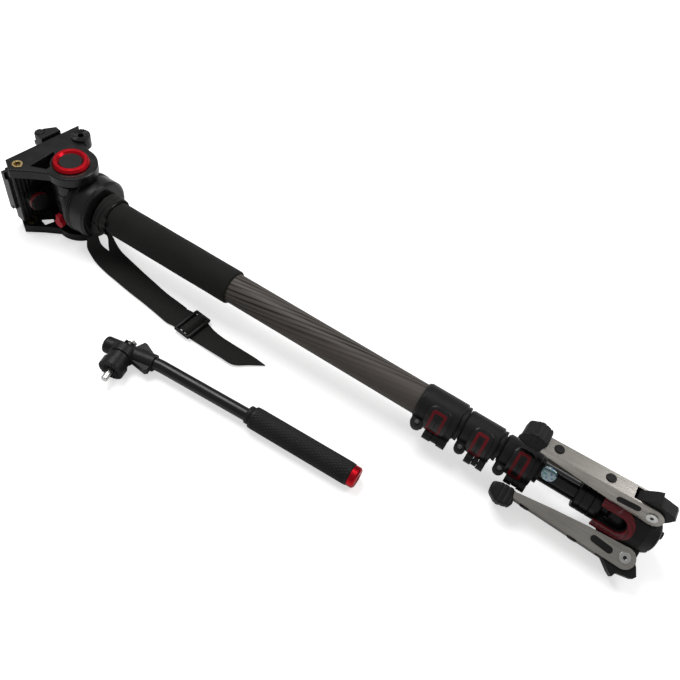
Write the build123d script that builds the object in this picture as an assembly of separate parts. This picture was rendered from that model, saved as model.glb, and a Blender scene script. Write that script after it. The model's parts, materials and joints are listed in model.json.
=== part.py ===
from build123d import *
import math
import os

# A four-section camera monopod, folded and lying down, with a tilting head, flip locks, a ball base
# with three folding legs, a wrist strap and its detached pan handle. Millimetres.
# The column is modelled along +X with the tilt axis of the head at X = 0, then laid on the ground.

# Fits
run_gap = 0.06
seat_gap = 0.02
free_gap = 0.3
overrun = 1.0

# Head: pan base, drum and cheeks
flange_start = 11.0
flange_length = 23.0
flange_radius = 31.2
pan_ring_start = 3.0
pan_ring_width = 6.0
pan_ring_depth = 3.0
pan_ring_stand = 0.7
pan_ring_groove = 1.0
pan_ring_shares = (
    (0.0, 0.5), (0.083, 0.0), (0.333, 0.0), (0.417, 1.0), (0.5, 0.0), (0.667, 0.0), (0.75, 1.0), (0.833, 0.0),
    (1.0, 1.0),
)
bowl_length = 3.0
bowl_end_radius = 27.0
drum_radius = 21.0
shoulder_inset = 5.2
shoulder_thickness = 6.4
cheek_flange_gap = 1.2
cheek_drum_gap = 5.8
cheek_thickness = 9.6
cheek_reach = 42.5
cheek_near = 50.4
cheek_far = 39.8
cheek_hub_radius = 25.3
cheek_boss_radius = 9.5
cheek_edge = 1.0
cheek_near_shares = ((1.0, 0.877), (0.64, 1.0), (0.33, 0.73))
cheek_far_shares = ((0.53, 0.69), (1.0, 1.0))
window_shares = ((0.48, 0.64), (0.55, 0.06), (0.20, 0.20), (0.16, 0.46))
window_low_shares = ((0.755, 0.555), (0.60, 0.367), (0.31, 0.466), (0.353, 0.667), (0.54, 0.655))
window_ring = 19.6
tilt_shaft_radius = 4.0
dial_outer = 18.0
dial_inner = 11.0
dial_height = 4.2
dial_groove = 1.4
hub_disc_height = 2.4
bridge_depth = 11.5
bridge_near = 47.0
bridge_rib = 1.2
bridge_rib_pitch = 4.0
bridge_rib_count = 5
bush_radius = 5.0
bush_bore = 3.175
bush_lip = 0.6
bush_reach = 29.6
bush_near = 39.4
rosette_reach = 25.0
rosette_far = 30.0
rosette_radius = 9.5
rosette_rise = 3.0
rosette_bore = 3.0
rosette_depth = 10.0
rosette_teeth = 24
rosette_tooth = 0.7

# Head: quick plate, its screw and lever, knobs
plate_half_height = 24.0
plate_height_offset = 3.0
plate_near = 49.5
plate_far = 38.0
plate_thickness = 5.0
dovetail_depth = 5.5
dovetail_half = 17.0
dovetail_flare = 2.5
plate_pad_groove = 0.8
camera_screw_radius = 3.175
camera_screw_height = 5.5
camera_screw_relief = 0.5
camera_screw_head = 7.5
camera_screw_head_height = 2.2
plate_lever_near = 2.0
plate_lever_length = 22.0
plate_lever_reach = 15.0
plate_lever_rise = 11.6
plate_lever_screw = 2.6
plate_lever_tip_share = 0.45
plate_lever_gap = 2.0
plate_lug_thickness = 4.6
knob_reach = 16.0
knob_near = 32.0
knob_height = -3.0
knob_radius = 9.5
knob_lobes = 9
tilt_lock_height = -19.5
tilt_lock_radius = 5.0
tilt_lock_reach = 28.8
tilt_lock_stem = 2.0
tilt_lock_offset = -1.0

# Neck, foam and strap loop
neck_gap_length = 7.0
neck_gap_radius = 15.0
neck_collar_length = 8.0
neck_collar_radius = 18.4
neck_plug_length = 18.0
stud_radius = 4.76
stud_reach = 18.0
foam_radius = 17.3
foam_length = 146.0
foam_start_gap = 1.0
foam_rounding = 2.0
strap_thickness = 1.3

# Tubes
tube_radii = (15.0, 13.0, 11.0, 9.0)
tube_wall = 1.2
section_start_step = 10.0
bush_ring_length = 12.0
section_stop = 45.0
section_overlap = 20.0

# Flip locks: length, collar radius, start radius, hinge radius, outer reach of the ear
lock_1_start = 407.0
lock_lengths = (40.0, 33.0, 34.0)
lock_radii = (17.6, 15.6, 14.4)
lock_nose_radii = (16.4, 14.4, 12.4)
lock_cam_reach = (29.0, 27.9, 25.0)
lock_ear_reach = (26.5, 25.0, 23.2)
lock_ring_length = 3.4
lock_ring_gap = 0.8
lock_socket_share = 0.42
lock_nose_share = 0.12
ear_shares = (0.03, 0.34)
lever_shares = (0.38, 0.985)
inlay_shares = (0.40, 0.745)
lobe_1_shares = (0.42, 0.62)
lobe_2_shares = (0.78, 0.97)
cam_radius = 4.9
hinge_pin_radius = 1.5
lever_wall = 2.6
lever_cover_gap = 0.4
lever_hinge_angle = 118.0
lever_top_angles = (33.0, 24.0, 11.0)
inlay_top_angles = (38.0, 29.0, 16.0)
inlay_bottom_angle = 104.0
inlay_depth = 0.7
inlay_frame = 2.6
ear_angle = 112.0
ear_width = 8.0
ear_slot = 1.2
clamp_screw_radius = 1.6
clamp_head_radius = 2.2

# Base: socket, swivel ring, ball and hub
base_socket_start = 559.0
base_socket_length = 13.7
base_socket_radius = 13.8
base_step_length = 5.0
base_step_groove = 0.9
swivel_ring_length = 9.0
shank_radius = 6.0
shank_head_radius = 7.4
shank_head_length = 3.0
ball_station = 597.5
ball_radius = 12.0
neck_radius = 6.5
hub_radius = 19.5
hub_front = 14.6
hub_rear = 22.5
hub_end_radius = 15.0
hub_front_radius = 15.5
hub_length_after = 31.0
hub_plug_length = 17.0
cap_radius = 12.4
cap_stand = 3.0
cap_nub_radius = 3.4
cap_nub_height = 2.5
lean_limit = 25.0
notch_angle = 53.7
notch_half = 7.0
horseshoe_width = 6.5
horseshoe_inner = 17.6
horseshoe_outer = 20.9
horseshoe_reach = 18.5
horseshoe_teeth = 17
horseshoe_tooth = 0.55

# Legs
leg_angles = (-6.3, 113.7, 233.7)
leg_width = 15.6
leg_wall = 1.5
leg_start = 515.0
leg_pivot_station = 615.2
leg_pivot_radial = 28.4
leg_end_radius = 9.3
leg_outer_start = 34.0
leg_outer_end = 37.0
leg_face_end = 595.0
leg_flank_shares = ((0.0, 0.768), (0.34, 0.654), (0.65, 0.573), (1.0, 0.524))
leg_pin_radius = 2.5
leg_pin_head_radius = 4.7
leg_pin_head = 1.1
lug_radius = 8.4
lug_foot = 12.0
rivet_radius = 4.5
rivet_height = 1.1
rivet_shares = (0.1327, 0.5868)
insert_length = 20.0
insert_height = 6.0
insert_station = 595.0
insert_radial = 28.6
insert_stand = 0.35
insert_slant = 6.0
foot_width = 19.0
foot_tongue = 10.0
foot_rounding = 2.2
foot_outline_shares = (
    (-1.0, 0.24), (-0.94, 0.66), (-0.55, 0.96), (-0.40, 1.0), (0.12, 0.84), (0.18, 0.62),
    (0.02, 0.0), (-0.53, 0.0), (-0.92, 0.12),
)
foot_length = 19.5
foot_base = 26.8
foot_height = 18.1
catch_width = 11.8
catch_outline_shares = (
    (-1.0, 0.36), (-0.66, 0.61), (-0.33, 0.86), (-0.10, 0.98), (-0.01, 0.74), (0.35, 0.68), (0.73, 0.61),
    (0.85, 0.44), (0.66, 0.09), (0.45, -0.17), (-0.2, -0.2), (-0.8, 0.2),
)
catch_reach = 17.6
catch_height = 18.6
catch_gap = 0.15

# Handle
handle_station = 289.0
handle_side = -91.0
handle_turn = 1.7
grip_radius = 10.5
grip_length = 102.0
grip_end_lip = 1.5
cap_length = 6.5
cap_edge = 1.4
ferrule_length = 5.0
ferrule_radius = 8.6
rod_radius = 6.0
rod_in_grip = 60.0
rod_straight = 101.0
rod_drop = 3.0
rod_tail = 31.0
rod_tail_drop = 5.1
rod_bend = 60.0
knuckle_radius = 8.2
knuckle_length = 36.0
handle_rosette_radius = 12.2
handle_rosette_length = 17.0
handle_rosette_tooth = 0.8
handle_screw_radius = 3.0
handle_screw_reach = 11.0
handle_screw_relief = 0.4
handle_screw_head = 6.0
handle_screw_head_height = 3.0
handle_rosette_waist = 1.6
handle_rosette_back = 4.5
knuckle_back_share = 0.7
wing_reach = 26.0
wing_span = 15.0
wing_thickness = 7.0
wing_wall = 2.2
wing_outline_shares = (
    (0.1, 0.45), (0.3, 1.0), (0.42, 0.95), (0.95, 0.35), (0.95, -0.75), (0.85, -0.85), (0.1, -0.45),
)

# How it lies
lie_pitch = 0.98
lie_roll = 0.6
tilt_rest = 170.2

# How far the joints move
tilt_range = (-70.0, 40.0)
tilt_lock_open = 90.0
plate_travel = 25.0
plate_lever_open = 60.0
lever_open = (120.0, 120.0, 55.0)
leg_open = 95.0

# The strap's edges on the ground, as shares of its reach along the column and of its distance beside it
strap_reach = 262.5
strap_side = 50.5
strap_under_shares = (
    (0.148, 0.50), (0.148, 0.62), (0.178, 0.72), (0.24, 0.85), (0.32, 0.94), (0.488, 0.96), (0.621, 1.0),
    (0.762, 1.0), (0.899, 0.99), (1.0, 0.64), (0.762, 0.60), (0.629, 0.56), (0.488, 0.56), (0.34, 0.55), (0.26, 0.46),
    (0.205, 0.35),
)
strap_over_shares = (
    (0.18, 0.44), (0.282, 0.535), (0.457, 0.743), (0.621, 0.80), (0.632, 0.366), (0.453, 0.337), (0.29, 0.168),
    (0.2, 0.12),
)
buckle_station = 174.5
buckle_side = -34.5
buckle_turn = -64.0
buckle_length = 38.0
buckle_depth = 22.0
buckle_bar = 3.2
buckle_height = 4.6
strap_loop_radius = 20.6
strap_loop_gap = 2.0
strap_loop_width = 13.0
strap_riser_angle = 118.0

# Places worked out from the sizes
shoulder_radius = flange_radius - shoulder_inset
cheek_inner = flange_radius + cheek_flange_gap
drum_half = cheek_inner - cheek_drum_gap
bridge_inner = cheek_reach - bridge_depth
plate_lever_top = cheek_inner + plate_lever_rise
flange_end = flange_start + flange_length
bowl_end = flange_end + bowl_length
neck_start = bowl_end + neck_gap_length
foam_start = neck_start + neck_collar_length + foam_start_gap
tube_1_start = neck_start + neck_collar_length + 2 * seat_gap
cheek_outer = cheek_inner + cheek_thickness
tube_bores = tuple(r - tube_wall for r in tube_radii)
lock_pitch = lock_ring_length + lock_ring_gap
lock_starts = [lock_1_start]
for lock_length in lock_lengths[:-1]:
    lock_starts.append(lock_starts[-1] + lock_length + lock_pitch)
hinge_radii = tuple(reach - cam_radius for reach in lock_cam_reach)
base_socket_end = base_socket_start + base_socket_length
swivel_start = base_socket_end + free_gap
swivel_end = swivel_start + swivel_ring_length
section_starts = [tube_1_start + neck_plug_length + section_stop]
for _ in tube_radii[2:]:
    section_starts.append(section_starts[-1] + section_start_step)


def across(station):
    """The plane square to the column at a station."""
    return Plane.YZ.offset(station)


def rod(start, end, radius):
    """A round bar along the column."""
    return extrude(across(start) * Circle(radius), end - start)


def turned(*profile):
    """A body turned about the column axis from its (station, radius) outline."""
    return revolve(make_face(Polyline(*profile, close=True)), Axis.X)


def upright(radius, low, high, place=(0, 0)):
    """A round bar along Z."""
    return extrude(Plane.XY.offset(low) * Pos(place[0], place[1]) * Circle(radius), high - low)


def slab(outline, low, high):
    """A plate with its outline in X and Y."""
    return extrude(Plane.XY.offset(low) * make_face(Polyline(*outline, close=True)), high - low)


def radial(sketch, width):
    """A piece with its outline in station and radius, centred on the radial plane."""
    return extrude(Plane.XZ * sketch, width / 2, both=True)


def face_of(points):
    return make_face(Polyline(*points, close=True))


def around(angle, shape):
    """Turns a piece made at the top of the column to its angle about it."""
    return Rot(X=angle) * shape


def level(shape):
    """Turns a piece of the tilting head from its own frame to the way it rests."""
    return Rot(Z=tilt_rest) * shape


def sector(inner, outer, first, last):
    """A ring sector across the column, between two angles from the top."""
    ring = Circle(outer) - Circle(inner) if inner else Circle(outer)
    far = 2 * outer
    steps = [first + (last - first) * share / 4 for share in range(5)]
    wedge = face_of([(0, 0)] + [(-far * math.sin(math.radians(a)), far * math.cos(math.radians(a))) for a in steps])
    return ring & wedge


def at_angle(angle, radius):
    """A point across the column, in the plane of across()."""
    return (-radius * math.sin(math.radians(angle)), radius * math.cos(math.radians(angle)))


def rosette_cut(radius, teeth, depth):
    """The V grooves of a toothed rosette whose face is at Z = 0."""
    groove = Plane.YZ * face_of([(-depth, 0), (depth, 0), (0, -depth)])
    bar = extrude(groove, radius + depth)
    return [Rot(Z=360 * i / teeth) * bar for i in range(teeth)]


# Head


def pan_base():
    seat_start = flange_start + pan_ring_start
    seat_end = seat_start + pan_ring_width
    body = turned(
        (flange_start, 0), (flange_start, flange_radius - cheek_edge), (flange_start + cheek_edge, flange_radius),
        (seat_start, flange_radius), (seat_start, flange_radius - pan_ring_depth),
        (seat_end, flange_radius - pan_ring_depth), (seat_end, flange_radius), (flange_end, flange_radius),
        (flange_end + bowl_length / 4, flange_radius - cheek_edge),
        (flange_end + bowl_length * 3 / 4, (flange_radius + bowl_end_radius) / 2), (bowl_end, bowl_end_radius),
        (bowl_end, neck_gap_radius), (neck_start, neck_gap_radius), (neck_start, 0),
    )
    return body - rod(neck_start - stud_reach, neck_start + overrun, stud_radius + seat_gap)


def pan_ring():
    start = flange_start + pan_ring_start + seat_gap
    end = start + pan_ring_width - 2 * seat_gap
    inner = flange_radius - pan_ring_depth + seat_gap
    outer = flange_radius + pan_ring_stand
    rim = [(start + (end - start) * u, outer - pan_ring_groove * v) for u, v in pan_ring_shares]
    return turned((start, inner), *rim, (end, inner))


def head_body():
    end = flange_start - run_gap
    drum = upright(drum_radius, -drum_half, drum_half)
    drum = drum & rod(-2 * drum_radius, end, 2 * drum_radius)
    bosses = upright(cheek_boss_radius, run_gap - cheek_inner, cheek_inner - run_gap)
    shoulder = turned(
        (end - shoulder_thickness, 0), (end - shoulder_thickness, shoulder_radius - cheek_edge),
        (end - shoulder_thickness + cheek_edge, shoulder_radius), (end, shoulder_radius), (end, 0),
    )
    boss_end = tilt_lock_reach - tilt_lock_radius
    boss = extrude(Plane.XZ * Pos(tilt_lock_offset, tilt_lock_height) * Circle(tilt_lock_radius), boss_end)
    bore = upright(tilt_shaft_radius + run_gap, -cheek_inner, cheek_inner)
    ribs = [
        upright(drum_radius + overrun, z, z + bridge_rib) - upright(drum_radius - bridge_rib / 2, z, z + bridge_rib)
        for z in (-drum_half / 2, 0, drum_half / 2)
    ]
    stem = extrude(
        Plane.XZ * Pos(tilt_lock_offset, tilt_lock_height) * Circle(tilt_lock_stem + run_gap), boss_end + overrun
    )
    return drum + bosses + shoulder + boss - bore - stem - ribs


def tilt_shaft():
    shaft = upright(tilt_shaft_radius, -cheek_outer + overrun, cheek_outer - overrun)
    return level(shaft)


def cheek_sketch():
    near = [(cheek_reach * u, cheek_near * v) for u, v in cheek_near_shares]
    far = [(cheek_reach * u, -cheek_far * v) for u, v in cheek_far_shares]
    plate = face_of(near + [(0, cheek_hub_radius - cheek_edge), (0, cheek_edge - cheek_hub_radius)] + far)
    return plate + Circle(cheek_hub_radius)


def cheek_plate(shares):
    window = face_of([(cheek_reach * u, cheek_near * v) for u, v in shares]) - Circle(window_ring)
    plate = extrude(Plane.XY.offset(cheek_inner) * (cheek_sketch() - window), cheek_thickness)
    plate = chamfer(plate.faces().sort_by(Axis.Z)[-1].outer_wire().edges(), cheek_edge)
    seat = upright(bush_radius, cheek_inner - overrun, cheek_outer + overrun, (bush_reach, bush_near))
    shaft = upright(tilt_shaft_radius + seat_gap, 0, cheek_outer - overrun + seat_gap)
    return plate - seat - shaft


def cheek_upper():
    place = (rosette_reach, -rosette_far)
    top = cheek_outer + rosette_rise
    boss = upright(rosette_radius, cheek_inner, top, place)
    teeth = [Pos(*place, top) * cut for cut in rosette_cut(rosette_radius, rosette_teeth, rosette_tooth)]
    bore = upright(rosette_bore, top - rosette_depth, top + overrun, place)
    collar = upright(dial_inner, cheek_outer - overrun, cheek_outer + hub_disc_height / 2)
    return level(cheek_plate(window_shares) + boss + collar - teeth - bore)


def cheek_lower():
    return level(Rot(X=180) * mirror(cheek_plate(window_low_shares), Plane.XZ))


def dial_ring():
    low = cheek_outer + seat_gap
    top = cheek_outer + dial_height
    middle = (dial_outer + dial_inner) / 2
    ring = face_of([
        (dial_inner + seat_gap, low), (dial_outer, low), (dial_outer, low + dial_height / 3),
        (dial_outer - dial_groove, top - dial_groove / 3), (middle + dial_groove, top), (middle - dial_groove, top),
        (dial_inner + seat_gap, low + dial_height / 2),
    ])
    return level(revolve(Plane.XZ * ring, Axis.Z))


def hub_discs():
    """The dark disc inside the ring."""
    low = cheek_outer + hub_disc_height / 2 + seat_gap
    disc = upright(dial_inner - 2 * seat_gap, low, low + hub_disc_height / 2)
    return level(disc)


def accessory_bushes():
    """The two brass bushes pressed into the cheeks."""
    place = (bush_reach, bush_near)
    bore = upright(bush_bore, cheek_inner - overrun, cheek_outer + 2 * overrun, place)
    upper = upright(bush_radius - seat_gap, cheek_inner, cheek_outer + bush_lip, place) - bore
    lower = upright(bush_radius - seat_gap, cheek_inner, cheek_outer, place) - bore
    return level(Compound(children=[upper, Rot(X=180) * mirror(lower, Plane.XZ)]))


def dovetail(gap):
    """The dovetail's outline across the plate, in the head's reach and height."""
    root = cheek_reach - dovetail_depth - gap
    centre = plate_height_offset
    return [
        (root, centre - dovetail_half - dovetail_flare - gap), (cheek_reach, centre - dovetail_half - gap),
        (cheek_reach + overrun, centre - dovetail_half - gap), (cheek_reach + overrun, centre + dovetail_half + gap),
        (cheek_reach, centre + dovetail_half + gap), (root, centre + dovetail_half + dovetail_flare + gap),
    ]


def bridge():
    block = Pos((bridge_inner + cheek_reach) / 2, (bridge_near - cheek_far) / 2) * Box(
        cheek_reach - bridge_inner, bridge_near + cheek_far, 2 * cheek_inner - 2 * seat_gap
    )
    channel = extrude(Plane.XZ * face_of(dovetail(2 * run_gap)), -bridge_near - overrun)
    channel = channel + extrude(Plane.XZ * face_of(dovetail(2 * run_gap)), cheek_far + overrun)
    block = block - channel
    ribs = [
        Pos(bridge_inner - bridge_rib / 2, bridge_near - bridge_rib - i * bridge_rib_pitch)
        * Box(bridge_rib, bridge_rib, 2 * cheek_inner - 2 * seat_gap)
        for i in range(bridge_rib_count)
    ]
    knob_seat = Plane.YZ.offset(bridge_inner) * Pos(knob_near, knob_height) * Circle(tilt_lock_stem + run_gap)
    clear = Plane.YZ.offset(bridge_inner - 2 * bridge_rib) * Pos(knob_near, knob_height) * Circle(knob_radius + free_gap)
    block = block + ribs - extrude(clear, 2 * bridge_rib) - extrude(knob_seat, bridge_rib * 3)
    pivot = lever_pivot()
    low, high = cheek_inner - seat_gap - plate_lug_thickness, cheek_inner - seat_gap
    far = plate_lever_near - plate_lever_length
    lug = slab([
        (bridge_inner, far), (cheek_reach, far), (pivot[0] + 2 * plate_lever_screw, pivot[1] - plate_lever_screw),
        (pivot[0] + 2 * plate_lever_screw, plate_lever_near), (bridge_inner, plate_lever_near),
    ], low, high)
    pivot_bore = upright(plate_lever_screw + run_gap, low - overrun, high + overrun, pivot)
    return level(block + lug - pivot_bore)


def quick_plate():
    tail = extrude(Plane.XZ * face_of(dovetail(0)), -plate_near)
    tail = tail + extrude(Plane.XZ * face_of(dovetail(0)), plate_far)
    top_start = cheek_reach + 2 * run_gap
    top = Pos(top_start + plate_thickness / 2, (plate_near - plate_far) / 2, plate_height_offset) * Box(
        plate_thickness, plate_near + plate_far, 2 * plate_half_height
    )
    top = chamfer(top.edges().filter_by(Axis.Y), cheek_edge)
    end = top_start + plate_thickness
    grooves = [
        Pos(end, (plate_near - plate_far) / 2, plate_height_offset + side * plate_half_height / 2)
        * Box(2 * plate_pad_groove, plate_near + plate_far - 4 * overrun, plate_pad_groove)
        for side in (-1.5, -1.2, 1.2, 1.5)
    ]
    slot = Plane.YZ.offset(cheek_reach - dovetail_depth - overrun) * Pos(0, plate_height_offset)
    shank = extrude(slot * Circle(camera_screw_radius + run_gap), dovetail_depth + plate_thickness + 3 * overrun)
    head = extrude(slot * Circle(camera_screw_head + run_gap), overrun + camera_screw_head_height + run_gap)
    return level(tail + top - grooves - shank - head)


def camera_screw():
    start = cheek_reach - dovetail_depth
    seat = Plane.YZ.offset(start) * Pos(0, plate_height_offset)
    head = extrude(seat * Circle(camera_screw_head), camera_screw_head_height)
    length = dovetail_depth + 2 * run_gap + plate_thickness + free_gap
    neck = extrude(seat * Circle(camera_screw_radius - camera_screw_relief), length)
    thread = Plane.YZ.offset(start + length) * Pos(0, plate_height_offset) * Circle(camera_screw_radius)
    thread = extrude(thread, camera_screw_height - free_gap)
    thread = chamfer(thread.edges().sort_by(Axis.X)[-1], camera_screw_radius / 6)
    slot = Pos(start, 0, plate_height_offset) * Box(
        camera_screw_head_height, 2 * camera_screw_head + overrun, camera_screw_head_height / 2
    )
    return level(head + neck + thread - slot)


def lever_pivot():
    """The pivot of the plate's lock lever, in the head's reach and near side."""
    start = cheek_reach + plate_lever_gap
    return start + plate_lever_reach * 2 / 3, plate_lever_near - 2 * plate_lever_screw


def lever_low():
    return cheek_inner + free_gap


def plate_lever():
    start = cheek_reach + plate_lever_gap
    end = start + plate_lever_reach
    edge = plate_lever_reach / 5
    far = plate_lever_near - plate_lever_length
    outline = [
        (start, plate_lever_near), (end - edge, plate_lever_near), (end, plate_lever_near - edge),
        (end - edge, plate_lever_near - plate_lever_length / 2), (start + plate_lever_reach * plate_lever_tip_share, far),
        (start, far),
    ]
    body = slab(outline, lever_low(), plate_lever_top)
    body = chamfer(body.faces().sort_by(Axis.Z)[-1].edges(), cheek_edge / 2)
    pin = upright(plate_lever_screw, lever_low() - plate_lug_thickness, lever_low() + overrun, lever_pivot())
    ring = upright(2 * plate_lever_screw, plate_lever_top - overrun, plate_lever_top + overrun, lever_pivot())
    screw = upright(1.6 * plate_lever_screw, plate_lever_top - 2 * overrun, plate_lever_top, lever_pivot())
    return level(body - ring + pin + screw)


def red_knob():
    length = bridge_inner - knob_reach - free_gap
    seat = Plane.YZ.offset(knob_reach) * Pos(knob_near, knob_height)
    body = extrude(seat * Circle(knob_radius), length)
    body = chamfer(body.edges().sort_by(Axis.X)[0], cheek_edge)
    scallop = knob_radius / 5
    cuts = [
        seat * Rot(Z=360 * i / knob_lobes) * Pos(knob_radius + scallop / 2, 0)
        * Cylinder(scallop, 2 * length - 4 * overrun)
        for i in range(knob_lobes)
    ]
    stem = extrude(seat * Circle(tilt_lock_stem), length + bridge_rib * 3)
    return level(body - cuts + stem)


def tilt_lock():
    start = tilt_lock_reach - tilt_lock_radius + run_gap
    seat = Plane.XZ * Pos(tilt_lock_offset, tilt_lock_height)
    head = extrude(seat * Circle(tilt_lock_radius), tilt_lock_reach) - extrude(
        seat * Circle(tilt_lock_radius + overrun), start
    )
    stem = extrude(seat * Circle(tilt_lock_stem), start)
    stem = stem - extrude(seat * Circle(tilt_lock_radius), drum_radius - 2 * tilt_lock_radius)
    paddle = extrude(
        seat * Pos(0, tilt_lock_radius) * Rectangle(tilt_lock_radius, 2 * tilt_lock_radius), tilt_lock_reach
    ) - extrude(seat * Pos(0, tilt_lock_radius) * Rectangle(3 * tilt_lock_radius, 4 * tilt_lock_radius), start)
    return head + stem + paddle


# Neck and column


def neck_collar():
    start = neck_start + seat_gap
    end = start + neck_collar_length
    plug = tube_bores[0] - seat_gap
    outer = neck_collar_radius
    edge = neck_collar_length / 5
    body = turned(
        (start, 0), (start, outer - edge), (start + edge, outer), (end - edge, outer), (end, outer - edge),
        (end, plug), (end + neck_plug_length, plug), (end + neck_plug_length, 0),
    )
    return body - rod(start - overrun, start + stud_reach, stud_radius + seat_gap)


def head_stud():
    stud = rod(neck_start - stud_reach + overrun, neck_start + stud_reach - overrun, stud_radius)
    ends = stud.edges().filter_by(GeomType.CIRCLE)
    return chamfer(ends, stud_radius / 6)


def tube(index, start, end):
    body = rod(start, end, tube_radii[index])
    return body - rod(start - overrun, end + overrun, tube_bores[index])


def foam_grip():
    start = foam_start
    end = foam_start + foam_length
    inner = tube_radii[0] + seat_gap
    return turned(
        (start, inner), (start, foam_radius - foam_rounding / 2), (start + foam_rounding, foam_radius),
        (end - foam_rounding, foam_radius), (end, foam_radius - foam_rounding / 2), (end, inner),
    )


def socket_end(index):
    """Where the tube of a section ends inside the lock it carries."""
    return lock_starts[index] + lock_lengths[index] * lock_socket_share


def section_travel(index):
    """How far a section slides out of the one above it, keeping its least overlap."""
    return socket_end(index - 1) - section_starts[index - 1] - bush_ring_length - section_overlap


def guide_bush(index):
    """The plastic bush on the inner end of a sliding section."""
    start = section_starts[index - 1]
    lip = start - tube_wall
    outer = tube_bores[index - 1] - run_gap
    return turned(
        (lip, tube_bores[index]), (lip, outer), (start + bush_ring_length, outer),
        (start + bush_ring_length, tube_radii[index] + seat_gap), (start, tube_radii[index] + seat_gap),
        (start, tube_bores[index]),
    )


# Flip locks


def lock_span(index, shares):
    start = lock_starts[index]
    length = lock_lengths[index]
    return start + length * shares[0], start + length * shares[1]


def lock_hinge(index):
    return at_angle(lever_hinge_angle, hinge_radii[index])


def ear_round(index):
    ear_from, ear_to = lock_span(index, ear_shares)
    return (ear_to - ear_from) / 2


def bolt_line(index):
    """The clamp screw's line through the ear, seen across it."""
    middle = lock_span(index, ear_shares)[0] + ear_round(index)
    centre = at_angle(ear_angle, lock_ear_reach[index] - ear_round(index))
    return Plane(origin=(middle, *centre), x_dir=(1, 0, 0), z_dir=(0, *at_angle(ear_angle + 90, 1)))


def lock_collar(index):
    start = lock_starts[index]
    length = lock_lengths[index]
    end = start + length
    outer = lock_radii[index]
    nose = lock_nose_radii[index]
    held = tube_radii[index] + seat_gap
    slide = tube_radii[index + 1] + run_gap
    ring = end + lock_ring_length
    body = turned(
        (start, held), (start, nose), (start + length * lock_nose_share / 2, outer),
        (end - overrun, outer), (end, outer - overrun), (end, nose - overrun / 2), (end + overrun, nose - overrun / 2),
        (end + overrun, nose), (ring, nose), (ring, slide),
        (socket_end(index), slide), (socket_end(index), held),
    )
    ear_from, ear_to = lock_span(index, ear_shares)
    reach = lock_ear_reach[index]
    line = bolt_line(index)
    ear = line * (Circle(ear_round(index)) + Pos(0, -reach / 2) * Rectangle(2 * ear_round(index), reach))
    ear = extrude(ear, ear_width / 2, both=True) - rod(start - overrun, end, held + overrun / 2)
    ear = ear & extrude(across(ear_from) * Rot(Z=ear_angle) * Pos(0, reach) * Rectangle(reach, 2 * reach), ear_to - ear_from)
    slot = extrude(
        across(ear_from - overrun) * Rot(Z=ear_angle) * Pos(0, reach) * Rectangle(ear_slot, 2 * (reach - outer)),
        ear_to - ear_from + 2 * overrun,
    )
    bolt_hole = extrude(line * Circle(clamp_screw_radius + seat_gap), 2 * ear_width, both=True)
    boss_from = lobe_end(index, 0) + free_gap
    boss_to = lobe_start(index, 1) - free_gap
    hinge = lock_hinge(index)
    boss_radius = cam_radius - overrun
    stem = Rot(Z=lever_hinge_angle) * Pos(0, hinge_radii[index] / 2 + outer / 4) * Rectangle(
        2 * boss_radius, hinge_radii[index] - outer / 2
    )
    boss = extrude(across(boss_from) * (Pos(*hinge) * Circle(boss_radius) + stem), boss_to - boss_from)
    boss = boss - rod(start, end, held + overrun / 2)
    pin_hole = extrude(across(start) * Pos(*hinge) * Circle(hinge_pin_radius + seat_gap), length)
    return body + ear + boss - slot - bolt_hole - pin_hole


def lobe_start(index, lobe):
    return lock_span(index, (lobe_1_shares, lobe_2_shares)[lobe])[0]


def lobe_end(index, lobe):
    return lock_span(index, (lobe_1_shares, lobe_2_shares)[lobe])[1]


def lever(index):
    """A cam lever: a curved plate over the collar with two cam lobes on the hinge pin."""
    first, last = lock_span(index, lever_shares)
    inner = lock_radii[index] + lever_cover_gap
    outer = inner + lever_wall
    hinge = lock_hinge(index)
    cover = sector(inner, outer, lever_top_angles[index], lever_hinge_angle)
    body = extrude(across(first) * cover, last - first)
    lobe = across(0) * (Pos(*hinge) * Circle(cam_radius))
    neck_angle = lever_hinge_angle - math.degrees(cam_radius / hinge_radii[index])
    neck = across(0) * sector(inner, hinge_radii[index], neck_angle, lever_hinge_angle)
    for side in (0, 1):
        low, high = lobe_start(index, side), lobe_end(index, side)
        body = body + extrude(Pos(low) * lobe, high - low) + extrude(Pos(low) * neck, high - low)
    gap_from, gap_to = lobe_end(index, 0), lobe_start(index, 1)
    stem_room = Pos(*hinge) * Circle(cam_radius + free_gap) + Rot(Z=lever_hinge_angle) * Pos(
        0, (hinge_radii[index] + inner) / 2 - overrun
    ) * Rectangle(2 * cam_radius, hinge_radii[index] - inner + 2 * overrun)
    body = body - extrude(across(gap_from) * stem_room, gap_to - gap_from)
    low_cut = sector(0, 2 * outer, lever_hinge_angle - 1.0, lever_hinge_angle + 90)
    body = body - (
        extrude(across(first - overrun) * low_cut, lobe_start(index, 0) - first + overrun)
        + extrude(across(gap_from) * low_cut, gap_to - gap_from)
        + extrude(across(lobe_end(index, 1)) * low_cut, last - lobe_end(index, 1) + overrun)
    )
    body = body - rod(first - overrun, last + overrun, inner)
    pin_hole = extrude(
        across(first - overrun) * Pos(*hinge) * Circle(hinge_pin_radius + run_gap), last - first + 2 * overrun
    )
    inlay_from, inlay_to = lock_span(index, inlay_shares)
    turn = math.degrees(inlay_frame / outer)
    top, bottom = inlay_top_angles[index], inlay_bottom_angle
    recess = extrude(
        across(inlay_from) * sector(outer - inlay_depth, 2 * outer, top, bottom), inlay_to - inlay_from
    ) - extrude(
        across(inlay_from + inlay_frame) * sector(0, 3 * outer, top + turn, bottom - turn),
        inlay_to - inlay_from - 2 * inlay_frame,
    )
    return body - pin_hole - recess


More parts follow.
